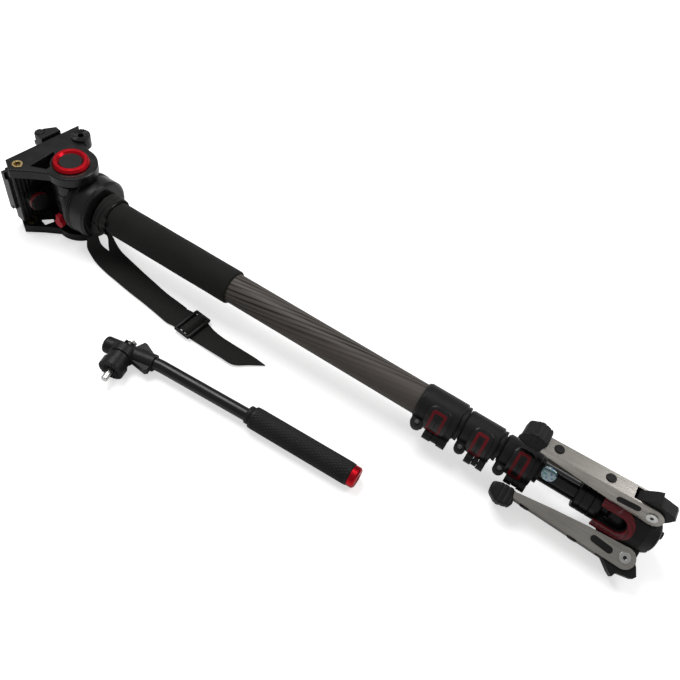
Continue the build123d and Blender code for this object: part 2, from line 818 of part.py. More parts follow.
def lock_bolt(index):
    """The clamp screw through the ear and the lever's hinge pin."""
    line = bolt_line(index)
    shank = extrude(line * Circle(clamp_screw_radius), ear_width / 2 + overrun, both=True)
    head = extrude(line.offset(ear_width / 2 + seat_gap) * Circle(clamp_head_radius), clamp_screw_radius)
    nut = extrude(line.offset(-ear_width / 2 - seat_gap) * RegularPolygon(clamp_head_radius, 6), -clamp_screw_radius)
    first, last = lobe_start(index, 0), lobe_end(index, 1)
    pin = extrude(across(first) * Pos(*lock_hinge(index)) * Circle(hinge_pin_radius), last - first)
    return Compound(children=[shank + head + nut, pin])


# Base


def base_socket():
    start = base_socket_start
    end = base_socket_end
    outer = base_socket_radius
    step = start + base_step_length
    groove = outer - base_step_groove
    floor = start + base_step_length * 2
    body = turned(
        (start, tube_radii[3] + seat_gap), (start, outer - overrun), (start + overrun, outer), (step, outer),
        (step, groove), (step + base_step_groove, groove), (step + base_step_groove, outer),
        (end - overrun / 2, outer), (end, outer - overrun / 2), (end, shank_radius + run_gap),
        (floor, shank_radius + run_gap), (floor, tube_radii[3] + seat_gap),
    )
    return body


def swivel_ring():
    start, end = swivel_start, swivel_end
    outer = base_socket_radius
    return turned(
        (start, shank_radius + seat_gap), (start, outer - overrun / 2), (start + overrun / 2, outer),
        (end - overrun * 2, outer), (end, outer - overrun * 2), (end, shank_radius + seat_gap),
    )


def ball_stem():
    floor = base_socket_start + base_step_length * 2
    head_end = floor - free_gap
    shank = rod(head_end, swivel_end, shank_radius)
    head = rod(head_end - shank_head_length, head_end, shank_head_radius)
    neck = rod(swivel_end, ball_station, neck_radius)
    ball = Pos(ball_station) * Sphere(ball_radius)
    return shank + head + neck + ball


def notch_sketch(half, reach):
    """A U with its round end about the ball's centre, open toward the column."""
    return Pos(ball_station) * (Circle(half) + Pos(-reach / 2, 0) * Rectangle(reach, 2 * half))


def leg_lug_sketch(grow):
    """The hub's lug in station and radius, with room around it."""
    foot = face_of([
        (leg_pivot_station - lug_foot - grow, 0), (leg_pivot_station + lug_foot * 0.75 + grow, 0),
        (leg_pivot_station + (lug_radius + grow) * 0.97, leg_pivot_radial - lug_radius * 0.25),
        (leg_pivot_station - (lug_radius + grow) * 0.97, leg_pivot_radial - lug_radius * 0.25),
    ])
    return foot + Pos(leg_pivot_station, leg_pivot_radial) * Circle(lug_radius + grow)


def lean_relief():
    """What the leaning ring would meet: everything in front of the planes the ring's face sweeps."""
    far = 4 * hub_radius
    reach = hub_front
    points = [(-reach, -far), (-reach, 0)]
    steps = 4
    for i in range(1, steps + 1):
        a = math.radians(lean_limit * i / steps)
        half = math.radians(lean_limit / steps / 2)
        points.append((-reach * math.cos(a - half) / math.cos(half), reach * math.sin(a - half) / math.cos(half)))
    a = math.radians(lean_limit)
    last = (-reach * math.cos(a), reach * math.sin(a))
    points.append(last)
    points.append((last[0] + far * math.sin(a), last[1] + far * math.cos(a)))
    points.append((-far, 2 * far))
    points.append((-far, -far))
    return extrude(Plane.XZ * Pos(ball_station) * face_of(points), far, both=True)


def hub_housing():
    front = ball_station - hub_front
    rear = ball_station + hub_rear
    lip = ball_radius * 0.42
    cavity = ball_radius + run_gap
    mouth = neck_radius + overrun
    slope = math.tan(math.radians(lean_limit))
    body = turned(
        (front, 0), (front, hub_front_radius), (front + hub_front * 0.35, hub_radius), (rear, hub_radius),
        (ball_station + hub_length_after, hub_end_radius), (ball_station + hub_length_after, 0),
    )
    for angle in leg_angles:
        body = body + around(angle, radial(leg_lug_sketch(0), catch_width))
    body = body - Pos(ball_station) * Sphere(cavity)
    body = body - rod(ball_station, ball_station + hub_length_after + overrun, cavity)
    body = body - turned(
        (ball_station, 0), (ball_station, mouth), (front - overrun, mouth + (hub_front + overrun) * slope),
        (front - overrun, 0),
    )
    notch = extrude(notch_sketch(notch_half, 2 * hub_front), 2 * hub_radius)
    body = body - around(notch_angle, notch)
    shoe = around(notch_angle, horseshoe_prism(horseshoe_inner - seat_gap, seat_gap))
    body = body - shoe - around(lean_angle(), lean_relief())
    for angle in leg_angles:
        bore = Plane.XZ * Pos(leg_pivot_station, leg_pivot_radial) * Circle(leg_pin_radius + seat_gap)
        body = body - around(angle, extrude(bore, leg_width, both=True))
    return body


def lean_angle():
    """The side to which the column leans: between legs one and three."""
    return (leg_angles[0] + leg_angles[2]) / 2 + 180


def horseshoe_prism(inner, gap):
    outer_half = notch_half + horseshoe_width + gap
    flat = notch_sketch(outer_half, horseshoe_reach + gap) - notch_sketch(notch_half, 3 * horseshoe_reach)
    prism = extrude(flat, 2 * hub_radius)
    return prism - rod(ball_station - 2 * horseshoe_reach, ball_station + 2 * horseshoe_reach, inner)


def horseshoe():
    body = horseshoe_prism(horseshoe_inner, 0)
    body = body & rod(ball_station - 2 * horseshoe_reach, ball_station + 2 * horseshoe_reach, horseshoe_outer)
    outer_half = notch_half + horseshoe_width
    cuts = []
    for i in range(horseshoe_teeth):
        a = math.radians(-90 + 180 * i / (horseshoe_teeth - 1))
        cuts.append(
            Pos(ball_station + outer_half * math.cos(a), outer_half * math.sin(a), horseshoe_outer)
            * Cylinder(horseshoe_tooth, 2 * (horseshoe_outer - hub_radius) - overrun)
        )
    return around(notch_angle, body - cuts)


def hub_cap():
    start = ball_station + hub_length_after - hub_plug_length
    end = ball_station + hub_length_after
    plug = ball_radius + run_gap - seat_gap
    top = end + cap_stand
    body = turned(
        (start, 0), (start, plug), (end, plug), (end, cap_radius), (top - cap_stand / 2, cap_radius),
        (top, cap_radius - cap_stand), (top, 0),
    )
    nub = Pos(0, cap_radius / 4, cap_radius / 4) * rod(top, top + cap_nub_height, cap_nub_radius)
    nub_2 = Pos(0, -cap_radius / 4, -cap_radius / 3) * rod(top, top + cap_nub_height / 2, cap_nub_radius * 0.7)
    return body + nub + nub_2 - Pos(ball_station) * Sphere(ball_radius + run_gap)


def leg_pins():
    """The three legs' pivot screws, heads on both flanks."""
    pins = []
    for angle in leg_angles:
        seat = Plane.XZ * Pos(leg_pivot_station, leg_pivot_radial)
        shank = extrude(seat * Circle(leg_pin_radius), leg_width / 2 + run_gap, both=True)
        head = extrude(seat * Circle(leg_pin_head_radius), leg_width / 2 + run_gap + leg_pin_head, both=True)
        head = head - extrude(seat * Circle(2 * leg_pin_head_radius), leg_width / 2 + run_gap, both=True)
        socket = extrude(seat * RegularPolygon(leg_pin_radius * 0.7, 6), leg_width / 2 + run_gap + leg_pin_head + overrun, both=True)
        socket = socket - extrude(seat * Circle(leg_pin_head_radius), leg_width / 2 + run_gap, both=True)
        pins.append(around(angle, shank + head - socket))
    return Compound(children=pins)


# Legs


def leg_profile(inset):
    """The channel's side outline in station and radius, drawn in from its outer face by the wall."""
    span = leg_pivot_station - leg_start
    low = [(leg_start + span * along, leg_outer_end * high) for along, high in leg_flank_shares]
    slope = (leg_outer_end - leg_outer_start) / (leg_face_end - leg_start)
    top_end = leg_pivot_station - leg_end_radius / 2
    top = leg_outer_start + slope * (top_end - leg_start)
    high = [
        (leg_pivot_station, leg_pivot_radial + leg_end_radius - inset), (top_end, top - inset),
        (leg_start, leg_outer_start - inset),
    ]
    return face_of(low + high) + Pos(leg_pivot_station, leg_pivot_radial) * Circle(leg_end_radius - inset)


def leg_channel(index):
    body = radial(leg_profile(0), leg_width)
    hollow_low = face_of([
        (leg_start - overrun, 0), (leg_pivot_station + 2 * leg_end_radius, 0),
        (leg_pivot_station + 2 * leg_end_radius, 2 * leg_outer_end), (leg_face_end, 2 * leg_outer_end),
        (leg_face_end, leg_outer_end - leg_wall),
        (leg_start, leg_outer_start - leg_wall), (leg_start - overrun, leg_outer_start - leg_wall),
    ])
    body = body - radial(hollow_low, leg_width - 2 * leg_wall)
    seat = Plane.XZ * Pos(leg_pivot_station, leg_pivot_radial)
    body = body - extrude(seat * Circle(leg_pin_radius + run_gap), leg_width, both=True)
    window = radial(insert_sketch(seat_gap), leg_width + overrun)
    return around(leg_angles[index], body - window)


def insert_sketch(grow):
    slot = SlotOverall(insert_length + 2 * grow, insert_height + 2 * grow)
    return Pos(insert_station, insert_radial) * Rot(Z=insert_slant) * slot


def leg_trim(index):
    """Black slot inserts in both flanks and the two round caps on the outer face."""
    insert = radial(insert_sketch(0), leg_width + 2 * insert_stand)
    insert = insert - radial(insert_sketch(overrun), leg_width - 2 * leg_wall)
    slope = (leg_outer_end - leg_outer_start) / (leg_face_end - leg_start)
    pieces = list(insert.solids())
    cap = extrude(Circle(rivet_radius), rivet_height, taper=20)
    for share in rivet_shares:
        along = (leg_pivot_station - leg_start) * share
        top = leg_outer_start + slope * along
        pieces.append(Pos(leg_start + along, 0, top + seat_gap) * Rot(Y=-math.degrees(math.atan(slope))) * cap)
    return around(leg_angles[index], Compound(children=pieces))


def leg_foot(index):
    """A rubber foot with a tongue between the channel's flanks."""
    points = [(leg_start + foot_length * u, foot_base + foot_height * v) for u, v in foot_outline_shares]
    outline = face_of(points)
    body = radial(outline, foot_width)
    side_edges = body.faces().filter_by(Axis.Y).edges()
    body = chamfer(side_edges, foot_rounding / 2)
    slope = (leg_outer_end - leg_outer_start) / (leg_face_end - leg_start)
    room_low = face_of([
        (leg_start - seat_gap, 0), (leg_start + 2 * foot_length, 0),
        (leg_start + 2 * foot_length, leg_outer_start + slope * 2 * foot_length + seat_gap),
        (leg_start - seat_gap, leg_outer_start + seat_gap),
    ])
    body = body - radial(room_low, leg_width + 2 * seat_gap)
    tongue_top = leg_outer_start - leg_wall - seat_gap
    tongue = face_of([
        (leg_start - overrun, foot_base + overrun), (leg_start + foot_tongue, foot_base + overrun),
        (leg_start + foot_tongue, tongue_top), (leg_start - overrun, tongue_top),
    ])
    body = body + radial(tongue, leg_width - 2 * leg_wall - 2 * seat_gap)
    return around(leg_angles[index], body)


def leg_catch(index):
    """The finned plate on the hub's lug that the leg's face clicks past."""
    points = [
        (leg_pivot_station + catch_reach * u, leg_pivot_radial + catch_height * v) for u, v in catch_outline_shares
    ]
    body = radial(face_of(points), catch_width)
    body = body - radial(leg_lug_sketch(catch_gap), 2 * catch_width)
    solid = max(body.solids(), key=lambda s: s.volume)
    return around(leg_angles[index], solid)


# Handle, in its own frame along X with the grip at the plus end


def handle_path():
    return FilletPolyline(
        (rod_in_grip, 0), (-rod_straight, -rod_drop), (-rod_straight - rod_tail, -rod_drop - rod_tail_drop),
        radius=rod_bend,
    )


def handle_end():
    """The rod's last direction and end point."""
    end = (-rod_straight - rod_tail, -rod_drop - rod_tail_drop)
    return end, math.degrees(math.atan2(rod_tail_drop, rod_tail))


def handle_rod():
    path = handle_path()
    start = Plane(origin=(rod_in_grip, 0, 0), z_dir=(-rod_in_grip - rod_straight, -rod_drop, 0))
    return sweep(start * Circle(rod_radius), path=path)


def handle_grip():
    body = rod(0, grip_length, grip_radius)
    body = chamfer(body.edges().filter_by(GeomType.CIRCLE), grip_end_lip / 2)
    ferrule = rod(-ferrule_length, overrun, ferrule_radius)
    body = body + ferrule
    return body - handle_bore(seat_gap)


def handle_bore(gap):
    path = handle_path()
    start = Plane(origin=(rod_in_grip, 0, 0), z_dir=(-rod_in_grip - rod_straight, -rod_drop, 0))
    return sweep(start * Circle(rod_radius + gap), path=path)


def handle_cap():
    start = grip_length + seat_gap
    end = start + cap_length
    edge = grip_radius
    return turned(
        (start, 0), (start, edge - grip_end_lip / 2), (end - cap_edge, edge - grip_end_lip / 2),
        (end, edge - grip_end_lip / 2 - cap_edge), (end, cap_edge * 3), (end - cap_edge / 2, cap_edge * 3),
        (end - cap_edge / 2, 0),
    )


def rosette_place():
    """Where the handle's rosette axis starts, and its line."""
    end, turn = handle_end()
    return Pos(end[0], end[1], handle_rosette_radius - grip_radius) * Rot(Z=turn) * Pos(-handle_rosette_back)


def handle_knuckle():
    end, turn = handle_end()
    frame = Pos(*end) * Rot(Z=turn)
    housing = rod(-knuckle_length * knuckle_back_share, knuckle_length * (1 - knuckle_back_share), knuckle_radius)
    housing = fillet(housing.edges().sort_by(Axis.X)[0], knuckle_radius / 3)
    wings = slab(
        [(wing_reach * u, wing_span * v) for u, v in wing_outline_shares], -wing_thickness / 2, wing_thickness / 2
    )
    sleeve = rod(0, wing_reach, rod_radius + wing_wall)
    rosette_frame = rosette_place()
    face = knuckle_radius + handle_rosette_length
    disc = extrude(Plane.XZ * Circle(handle_rosette_radius), face)
    disc = chamfer(disc.edges().sort_by(Axis.Y)[0], handle_rosette_tooth / 2)
    waist = extrude(Plane.XZ.offset(knuckle_radius) * (
        Circle(2 * handle_rosette_radius) - Circle(handle_rosette_radius - handle_rosette_waist)
    ), handle_rosette_length / 2)
    teeth = [
        rosette_frame * Pos(0, -face) * Rot(X=90) * cut
        for cut in rosette_cut(handle_rosette_radius + overrun, rosette_teeth, handle_rosette_tooth)
    ]
    bore = extrude(
        Plane.XZ.offset(-2 * knuckle_radius) * Circle(handle_screw_radius + run_gap),
        2 * knuckle_radius + face + overrun,
    )
    body = frame * (housing + wings + sleeve) + rosette_frame * (disc - waist)
    return body - handle_bore(seat_gap) - teeth - rosette_frame * bore


def handle_screw():
    rosette_frame = rosette_place()
    start = knuckle_radius + run_gap
    face = knuckle_radius + handle_rosette_length + free_gap
    neck = extrude(Plane.XZ.offset(-start) * Circle(handle_screw_radius - handle_screw_relief), start + face)
    thread = extrude(Plane.XZ.offset(face) * Circle(handle_screw_radius), handle_screw_reach - free_gap)
    thread = chamfer(thread.edges().sort_by(Axis.Y)[0], handle_screw_radius / 5)
    head = extrude(Plane.XZ.offset(-start) * RegularPolygon(handle_screw_head, 6), -handle_screw_head_height)
    return rosette_frame * (neck + thread + head)


# Strap and buckle, on the ground


def strap_edge(shares):
    return [(strap_reach * u, -strap_side * v) for u, v in shares]


def wrist_strap(drop):
    """Two layers of webbing on the ground, and the loop round the neck; drop is the axis height."""
    under = slab(strap_edge(strap_under_shares), seat_gap, strap_thickness)
    over = slab(strap_edge(strap_over_shares), strap_thickness, 2 * strap_thickness)
    start = bowl_end + strap_loop_gap
    loop = turned(
        (start, strap_loop_radius - strap_thickness), (start, strap_loop_radius),
        (start + strap_loop_width, strap_loop_radius), (start + strap_loop_width, strap_loop_radius - strap_thickness),
    )
    top = at_angle(strap_riser_angle, strap_loop_radius - strap_thickness / 2)
    foot = (-strap_side * strap_under_shares[0][1] - 2 * strap_thickness, strap_thickness / 2 - drop)
    lean = math.atan2(top[1] - foot[1], top[0] - foot[0])
    off = (strap_thickness * math.sin(lean) / 2, -strap_thickness * math.cos(lean) / 2)
    riser = extrude(across(start) * face_of([
        (top[0] + off[0], top[1] + off[1]), (top[0] - off[0], top[1] - off[1]),
        (foot[0] - off[0], foot[1] - off[1]), (foot[0] + off[0], foot[1] + off[1]),
    ]), strap_loop_width)
    return under + over + Pos(0, 0, drop) * (loop + riser)


def strap_buckle():
    """A tri-glide: a frame with a middle bar, round the webbing."""
    frame = Box(buckle_depth, buckle_length, buckle_height)
    inner = buckle_depth / 2 - 1.5 * buckle_bar
    room = Box(inner, buckle_length - 2 * buckle_bar, buckle_height + overrun)
    shift = inner / 2 + buckle_bar / 2
    frame = frame - Pos(shift) * room - Pos(-shift) * room
    frame = chamfer(frame.faces().sort_by(Axis.Z)[-1].outer_wire().edges(), buckle_bar / 4)
    low = 2 * strap_thickness + seat_gap
    return Pos(buckle_station, buckle_side, low + buckle_height / 2) * Rot(Z=buckle_turn + 90) * frame


def lying(drop):
    """From the column's own frame to the ground."""
    return Pos(0, 0, drop) * Rot(X=lie_roll) * Rot(Y=lie_pitch)


def resting_drop(pieces):
    """The axis height at which the lowest piece touches the ground."""
    turned_pieces = [lying(0) * piece for piece in pieces]
    return -min(piece.bounding_box().min.Z for piece in turned_pieces)


def pieces():
    """Every piece in the column's frame, by name; the strap and handle are made on the ground."""
    column = {
        "pan_base": pan_base(), "pan_ring": pan_ring(), "head_body": head_body(), "tilt_shaft": tilt_shaft(),
        "cheek_upper": cheek_upper(), "cheek_lower": cheek_lower(), "dial_ring": dial_ring(),
        "hub_disc": hub_discs(), "accessory_bushes": accessory_bushes(),
        "bridge": bridge(), "quick_plate": quick_plate(), "camera_screw": camera_screw(),
        "plate_lever": plate_lever(), "red_knob": red_knob(), "tilt_lock": tilt_lock(),
        "neck_collar": neck_collar(), "head_stud": head_stud(), "foam_grip": foam_grip(),
        "base_socket": base_socket(), "swivel_ring": swivel_ring(), "ball_stem": ball_stem(),
        "hub_housing": hub_housing(), "horseshoe": horseshoe(), "hub_cap": hub_cap(), "leg_pins": leg_pins(),
    }
    starts = [tube_1_start] + section_starts
    ends = [socket_end(i) for i in range(3)] + [base_socket_start + 2 * base_step_length - seat_gap]
    for i in range(4):
        column[f"tube_{i + 1}"] = tube(i, starts[i], ends[i])
    for i in range(1, 4):
        column[f"guide_bush_{i + 1}"] = guide_bush(i)
    for i in range(3):
        column[f"lock_{i + 1}_collar"] = lock_collar(i)
        column[f"lock_{i + 1}_lever"] = lever(i)
        column[f"lock_{i + 1}_bolt"] = lock_bolt(i)
        column[f"leg_{i + 1}_channel"] = leg_channel(i)
        column[f"leg_{i + 1}_foot"] = leg_foot(i)
        column[f"leg_{i + 1}_trim"] = leg_trim(i)
        column[f"leg_{i + 1}_catch"] = leg_catch(i)
    return column


def handle_pieces():
    return {
        "handle_rod": handle_rod(), "handle_grip": handle_grip(), "handle_cap": handle_cap(),
        "handle_knuckle": handle_knuckle(), "handle_screw": handle_screw(),
    }


def assembled():
    """All pieces on the ground, with the middle of the whole above the origin."""
    column = pieces()
    drop = resting_drop(column.values())
    laid = {name: lying(drop) * piece for name, piece in column.items()}
    laid["wrist_strap"] = wrist_strap(drop)
    laid["strap_buckle"] = strap_buckle()
    place = Pos(handle_station, handle_side, grip_radius) * Rot(Z=handle_turn)
    for name, piece in handle_pieces().items():
        laid[name] = place * piece
    boxes = [piece.bounding_box() for piece in laid.values()]
    middle_x = (min(b.min.X for b in boxes) + max(b.max.X for b in boxes)) / 2
    middle_y = (min(b.min.Y for b in boxes) + max(b.max.Y for b in boxes)) / 2
    low = min(b.min.Z for b in boxes)
    shift = Pos(-middle_x, -middle_y, -low)
    return {name: shift * piece for name, piece in laid.items()}, shift, drop


def main():
    os.makedirs("parts", exist_ok=True)
    laid, shift, drop = assembled()
    for name, piece in laid.items():
        export_step(piece, f"parts/{name}.step")
    print("axis height", round(drop, 3), "shift", shift.position)


if __name__ == "__main__":
    main()
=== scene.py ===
import json
import math

import bmesh
import bpy
from mathutils import Matrix, Vector, noise

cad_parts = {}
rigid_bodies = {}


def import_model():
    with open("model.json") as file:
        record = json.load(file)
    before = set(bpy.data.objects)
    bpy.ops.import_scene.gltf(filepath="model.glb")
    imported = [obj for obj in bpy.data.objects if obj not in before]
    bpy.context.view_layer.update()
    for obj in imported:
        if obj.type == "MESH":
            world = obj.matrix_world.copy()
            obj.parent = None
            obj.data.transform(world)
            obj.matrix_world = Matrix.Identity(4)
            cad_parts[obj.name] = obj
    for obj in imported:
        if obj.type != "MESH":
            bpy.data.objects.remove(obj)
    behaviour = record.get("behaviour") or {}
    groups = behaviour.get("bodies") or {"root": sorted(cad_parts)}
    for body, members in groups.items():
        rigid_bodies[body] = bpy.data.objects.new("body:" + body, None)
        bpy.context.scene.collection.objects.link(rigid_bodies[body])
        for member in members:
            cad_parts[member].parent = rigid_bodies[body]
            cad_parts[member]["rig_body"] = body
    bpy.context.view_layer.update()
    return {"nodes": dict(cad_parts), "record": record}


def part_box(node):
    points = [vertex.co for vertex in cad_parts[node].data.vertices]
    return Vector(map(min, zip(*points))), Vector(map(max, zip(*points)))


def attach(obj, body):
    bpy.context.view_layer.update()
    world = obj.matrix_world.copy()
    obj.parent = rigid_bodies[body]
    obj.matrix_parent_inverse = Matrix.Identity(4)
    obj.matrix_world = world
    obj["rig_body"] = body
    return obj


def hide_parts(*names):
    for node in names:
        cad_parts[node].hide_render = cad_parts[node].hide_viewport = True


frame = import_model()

MM = 0.001
FULL_TURN = 2.0 * math.pi
NODES = frame["nodes"]
JOINTS = {joint["name"]: joint for joint in frame["record"]["behaviour"]["joints"]}


# Where the column lies: stations along it start at the tilt axis, angles run from its top to the near side

COLUMN_PLACE = Vector((-287.666, 46.4951, 42.487))
COLUMN_ROLL = math.radians(0.6)
COLUMN_PITCH = math.radians(0.98)
COLUMN = (
    Matrix.Translation(COLUMN_PLACE * MM)
    @ Matrix.Rotation(COLUMN_ROLL, 4, "X")
    @ Matrix.Rotation(COLUMN_PITCH, 4, "Y")
)
GRIP_START = 53.0
GRIP_LENGTH = 146.0
GRIP_END = GRIP_START + GRIP_LENGTH
LOCK_START = (407.0, 451.2, 488.4)
LOCK_LENGTH = (40.0, 33.0, 34.0)


def column(station, angle, radius):
    """A point on the lying column, from millimetres and degrees."""
    turn = math.radians(angle)
    return COLUMN @ (Vector((station, -radius * math.sin(turn), radius * math.cos(turn))) * MM)


# Where the handle lies: stations along it start at the inner end of its grip

HANDLE_PLACE = Vector((1.334, -44.5049, 10.5))
HANDLE_TURN = math.radians(1.7)
HANDLE = Matrix.Translation(HANDLE_PLACE * MM) @ Matrix.Rotation(HANDLE_TURN, 4, "Z")


def body_of(node):
    return NODES[node]["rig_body"]


def middle_of(node):
    low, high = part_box(node)
    return (Vector(low) + Vector(high)) / 2


# Camera at the photograph's viewing angle

camera_data = bpy.data.cameras.new("camera")
camera = bpy.data.objects.new("camera", camera_data)
bpy.context.scene.collection.objects.link(camera)
camera_data.sensor_width = 36.0
camera_data.lens = 40.45
camera_data.clip_start = 0.01
right = Vector((0.8388, 0.5315, 0.1181)).normalized()
back = Vector((0.2501, -0.5690, 0.7834))
back = (back - right * back.dot(right)).normalized()
up = back.cross(right)
camera_place = Matrix((right, up, back)).transposed().to_4x4()
camera_place.translation = Vector((0.2033, -0.3471, 0.5939))
camera.matrix_world = camera_place
bpy.context.scene.camera = camera


# Materials

def grey(value):
    return (value, value, value, 1.0)


def opaque(colour):
    return tuple(colour) + (1.0,)


# The part of its range in which most of a noise lies
MOST = (0.3, 0.7)


class Shader:
    """A node tree being built, with short calls."""

    def __init__(self, name):
        self.material = bpy.data.materials.new(name)
        self.material.use_nodes = True
        self.tree = self.material.node_tree
        self.surface = self.tree.nodes["Principled BSDF"]

    def add(self, kind, settings=None, **sockets):
        node = self.tree.nodes.new(kind)
        for key, value in (settings or {}).items():
            setattr(node, key, value)
        self.fill(node, sockets)
        return node

    def fill(self, node, sockets):
        """Sockets go by name, with _ for a space, or by number as i0, i1 and so on."""
        for key, value in sockets.items():
            numbered = key[0] == "i" and key[1:].isdigit()
            socket = node.inputs[int(key[1:]) if numbered else key.replace("_", " ")]
            if isinstance(value, bpy.types.NodeSocket):
                self.tree.links.new(value, socket)
            else:
                socket.default_value = value

    def set(self, **sockets):
        self.fill(self.surface, sockets)

    def position(self):
        return self.add("ShaderNodeTexCoord").outputs["Object"]

    def math(self, operation, first, second=0.0):
        return self.add("ShaderNodeMath", {"operation": operation}, i0=first, i1=second).outputs[0]

    def times(self, first, second):
        return self.math("MULTIPLY", first, second)

    def plus(self, first, second):
        return self.math("ADD", first, second)

    def sine(self, value):
        return self.math("SINE", value)

    def split(self, vector):
        return self.add("ShaderNodeSeparateXYZ", Vector=vector).outputs

    def from_point(self, vector, point):
        """X, Y and Z of a vector measured from a point."""
        offset = self.add("ShaderNodeVectorMath", {"operation": "SUBTRACT"}, i0=vector, i1=tuple(point))
        return self.split(offset.outputs[0])

    def noise(self, vector, scale, detail=3.0, rough=0.5):
        node = self.add("ShaderNodeTexNoise", Vector=vector, Scale=scale, Detail=detail, Roughness=rough)
        return node.outputs["Fac"]

    def stretch(self, vector, scale, turn=(0.0, 0.0, 0.0)):
        return self.add("ShaderNodeMapping", Vector=vector, Scale=scale, Rotation=turn).outputs[0]

    def ramp(self, value, *stops):
        node = self.add("ShaderNodeValToRGB", Fac=value)
        points = node.color_ramp.elements
        while len(points) < len(stops):
            points.new(0.5)
        for point, (at, colour) in zip(points, stops):
            point.position = at
            point.color = opaque(colour)
        return node.outputs["Color"]

    def span(self, value, low, high, first=0.0, last=1.0):
        """Takes low to high over to first to last."""
        node = self.add("ShaderNodeMapRange", Value=value, From_Min=low, From_Max=high, To_Min=first,
                        To_Max=last)
        return node.outputs[0]

    def blend(self, share, first, second, how="MIX"):
        node = self.add("ShaderNodeMix", {"data_type": "RGBA", "blend_type": how}, i0=share, i6=first,
                        i7=second)
        return node.outputs[2]

    def soft_edges(self, radius):
        """The normal as if the piece's edges were rounded off, and how near an edge a point is."""
        flat, cornered = 0.995, 0.85
        bevel = self.add("ShaderNodeBevel", {"samples": 6}, Radius=radius).outputs[0]
        normal = self.add("ShaderNodeNewGeometry").outputs["Normal"]
        dot = self.add("ShaderNodeVectorMath", {"operation": "DOT_PRODUCT"}, i0=bevel, i1=normal)
        return bevel, self.span(dot.outputs["Value"], flat, cornered)

    def bump(self, height, strength, distance, normal=None):
        node = self.add("ShaderNodeBump", Height=height, Strength=strength, Distance=distance)
        if normal is not None:
            self.fill(node, {"Normal": normal})
        return node.outputs[0]


def coated(name, dark, light, rough, grain, bumpiness, edge, wear_and_highlight, coat=0.0, shine=0.22):
    """A painted or moulded surface: mottled colour, fine grain, and edges painted lighter in patches, partly
    as wear and partly as a painted highlight.
    """
    s = Shader(name)
    at = s.position()
    bevel, near_edge = s.soft_edges(edge)
    fine = s.noise(at, scale=grain, detail=2.0, rough=0.6)
    colour = s.ramp(s.noise(at, scale=38.0, detail=4.0), (MOST[0], dark), (MOST[1], light))
    scuff_and_highlight_patches = s.span(s.noise(at, scale=260.0, detail=6.0, rough=0.7), 0.5, 0.68)
    # Edge colour: the light tone brightened and laid along edges in random patches; partly wear, partly a
    # painted highlight.
    edge_colour_worn_and_lit = tuple(min(1.0, v * 4.0 + 0.012) for v in light)
    colour = s.blend(s.times(s.times(near_edge, scuff_and_highlight_patches), wear_and_highlight), colour, opaque(edge_colour_worn_and_lit))
    patches = s.span(s.noise(at, scale=90.0, detail=5.0), *MOST, rough - 0.06, rough + 0.07)
    roughness = s.plus(patches, s.span(fine, *MOST, -0.03, 0.03))
    s.set(Base_Color=colour, Roughness=roughness, Specular_IOR_Level=shine)
    s.set(Normal=s.bump(fine, strength=bumpiness, distance=0.0002, normal=bevel))
    s.set(Coat_Weight=coat, Coat_Roughness=0.2)
    return s.material


def metal(name, bright, dull, rough, lines, axis_scale, strength=0.15):
    """Bare metal with machining or brushing lines along one direction."""
    s = Shader(name)
    at = s.position()
    bevel = s.soft_edges(0.0003)[0]
    brushed = s.noise(s.stretch(at, axis_scale), scale=lines, detail=4.0, rough=0.65)
    colour = s.blend(s.span(s.noise(at, scale=30.0), *MOST), opaque(dull), opaque(bright))
    colour = s.blend(s.span(brushed, 0.35, 0.65, 0.0, 0.28), colour, grey(0.12), "MULTIPLY")
    s.set(Base_Color=colour, Roughness=s.span(brushed, *MOST, rough - 0.06, rough + 0.1), Metallic=1.0)
    s.set(Normal=s.bump(brushed, strength=strength, distance=0.00006, normal=bevel))
    return s.material


def carbon_surface():
    """Lacquered fibre: dark streaks that drift round the tube along its length, over a fine cross weave."""
    dark, light = (0.014, 0.013, 0.012), (0.086, 0.074, 0.065)
    drift, streaks, wobble = 2.3, 21.0, 5.0
    flow_along, flow_round = 8.0, 2.2
    weave_along, weave_round = 5200.0, 72.0
    s = Shader("carbon")
    levelled = Matrix.Rotation(-COLUMN_PITCH, 3, "Y") @ Matrix.Rotation(-COLUMN_ROLL, 3, "X")
    at = s.stretch(s.position(), (1.0, 1.0, 1.0), (-COLUMN_ROLL, -COLUMN_PITCH, 0.0))
    along, side, high = s.from_point(at, levelled @ (COLUMN_PLACE * MM))
    turn = s.times(s.math("ARCTAN2", side, high), -1.0)
    bare = s.span(along, GRIP_END * MM, LOCK_START[0] * MM)
    drifted = s.plus(turn, s.times(bare, drift))
    flow_x, flow_y = s.times(along, flow_along), s.times(drifted, flow_round)
    flow = s.add("ShaderNodeCombineXYZ", X=flow_x, Y=flow_y).outputs[0]
    phase = s.plus(s.times(drifted, streaks), s.times(s.noise(flow, scale=1.3, detail=2.0), wobble))
    streak = s.span(s.sine(phase), -0.2, 0.8)
    streak = s.times(streak, s.span(s.noise(flow, scale=2.1), 0.32, 0.6, 0.35, 1.0))
    streak = s.times(streak, s.span(drifted, 2.5, 1.5, 0.12, 1.0))
    thread = s.times(s.sine(s.times(along, weave_along)), s.sine(s.times(turn, weave_round)))
    colour = s.blend(streak, opaque(light), opaque(dark))
    colour = s.blend(s.span(thread, -1.0, 1.0, 0.0, 0.3), colour, grey(0.35), "MULTIPLY")
    s.set(Base_Color=colour, Roughness=s.span(streak, 0.0, 1.0, 0.5, 0.58), Specular_IOR_Level=0.2)
    s.set(Normal=s.bump(thread, strength=0.12, distance=0.00005), Coat_Weight=0.05, Coat_Roughness=0.35)
    return s.material


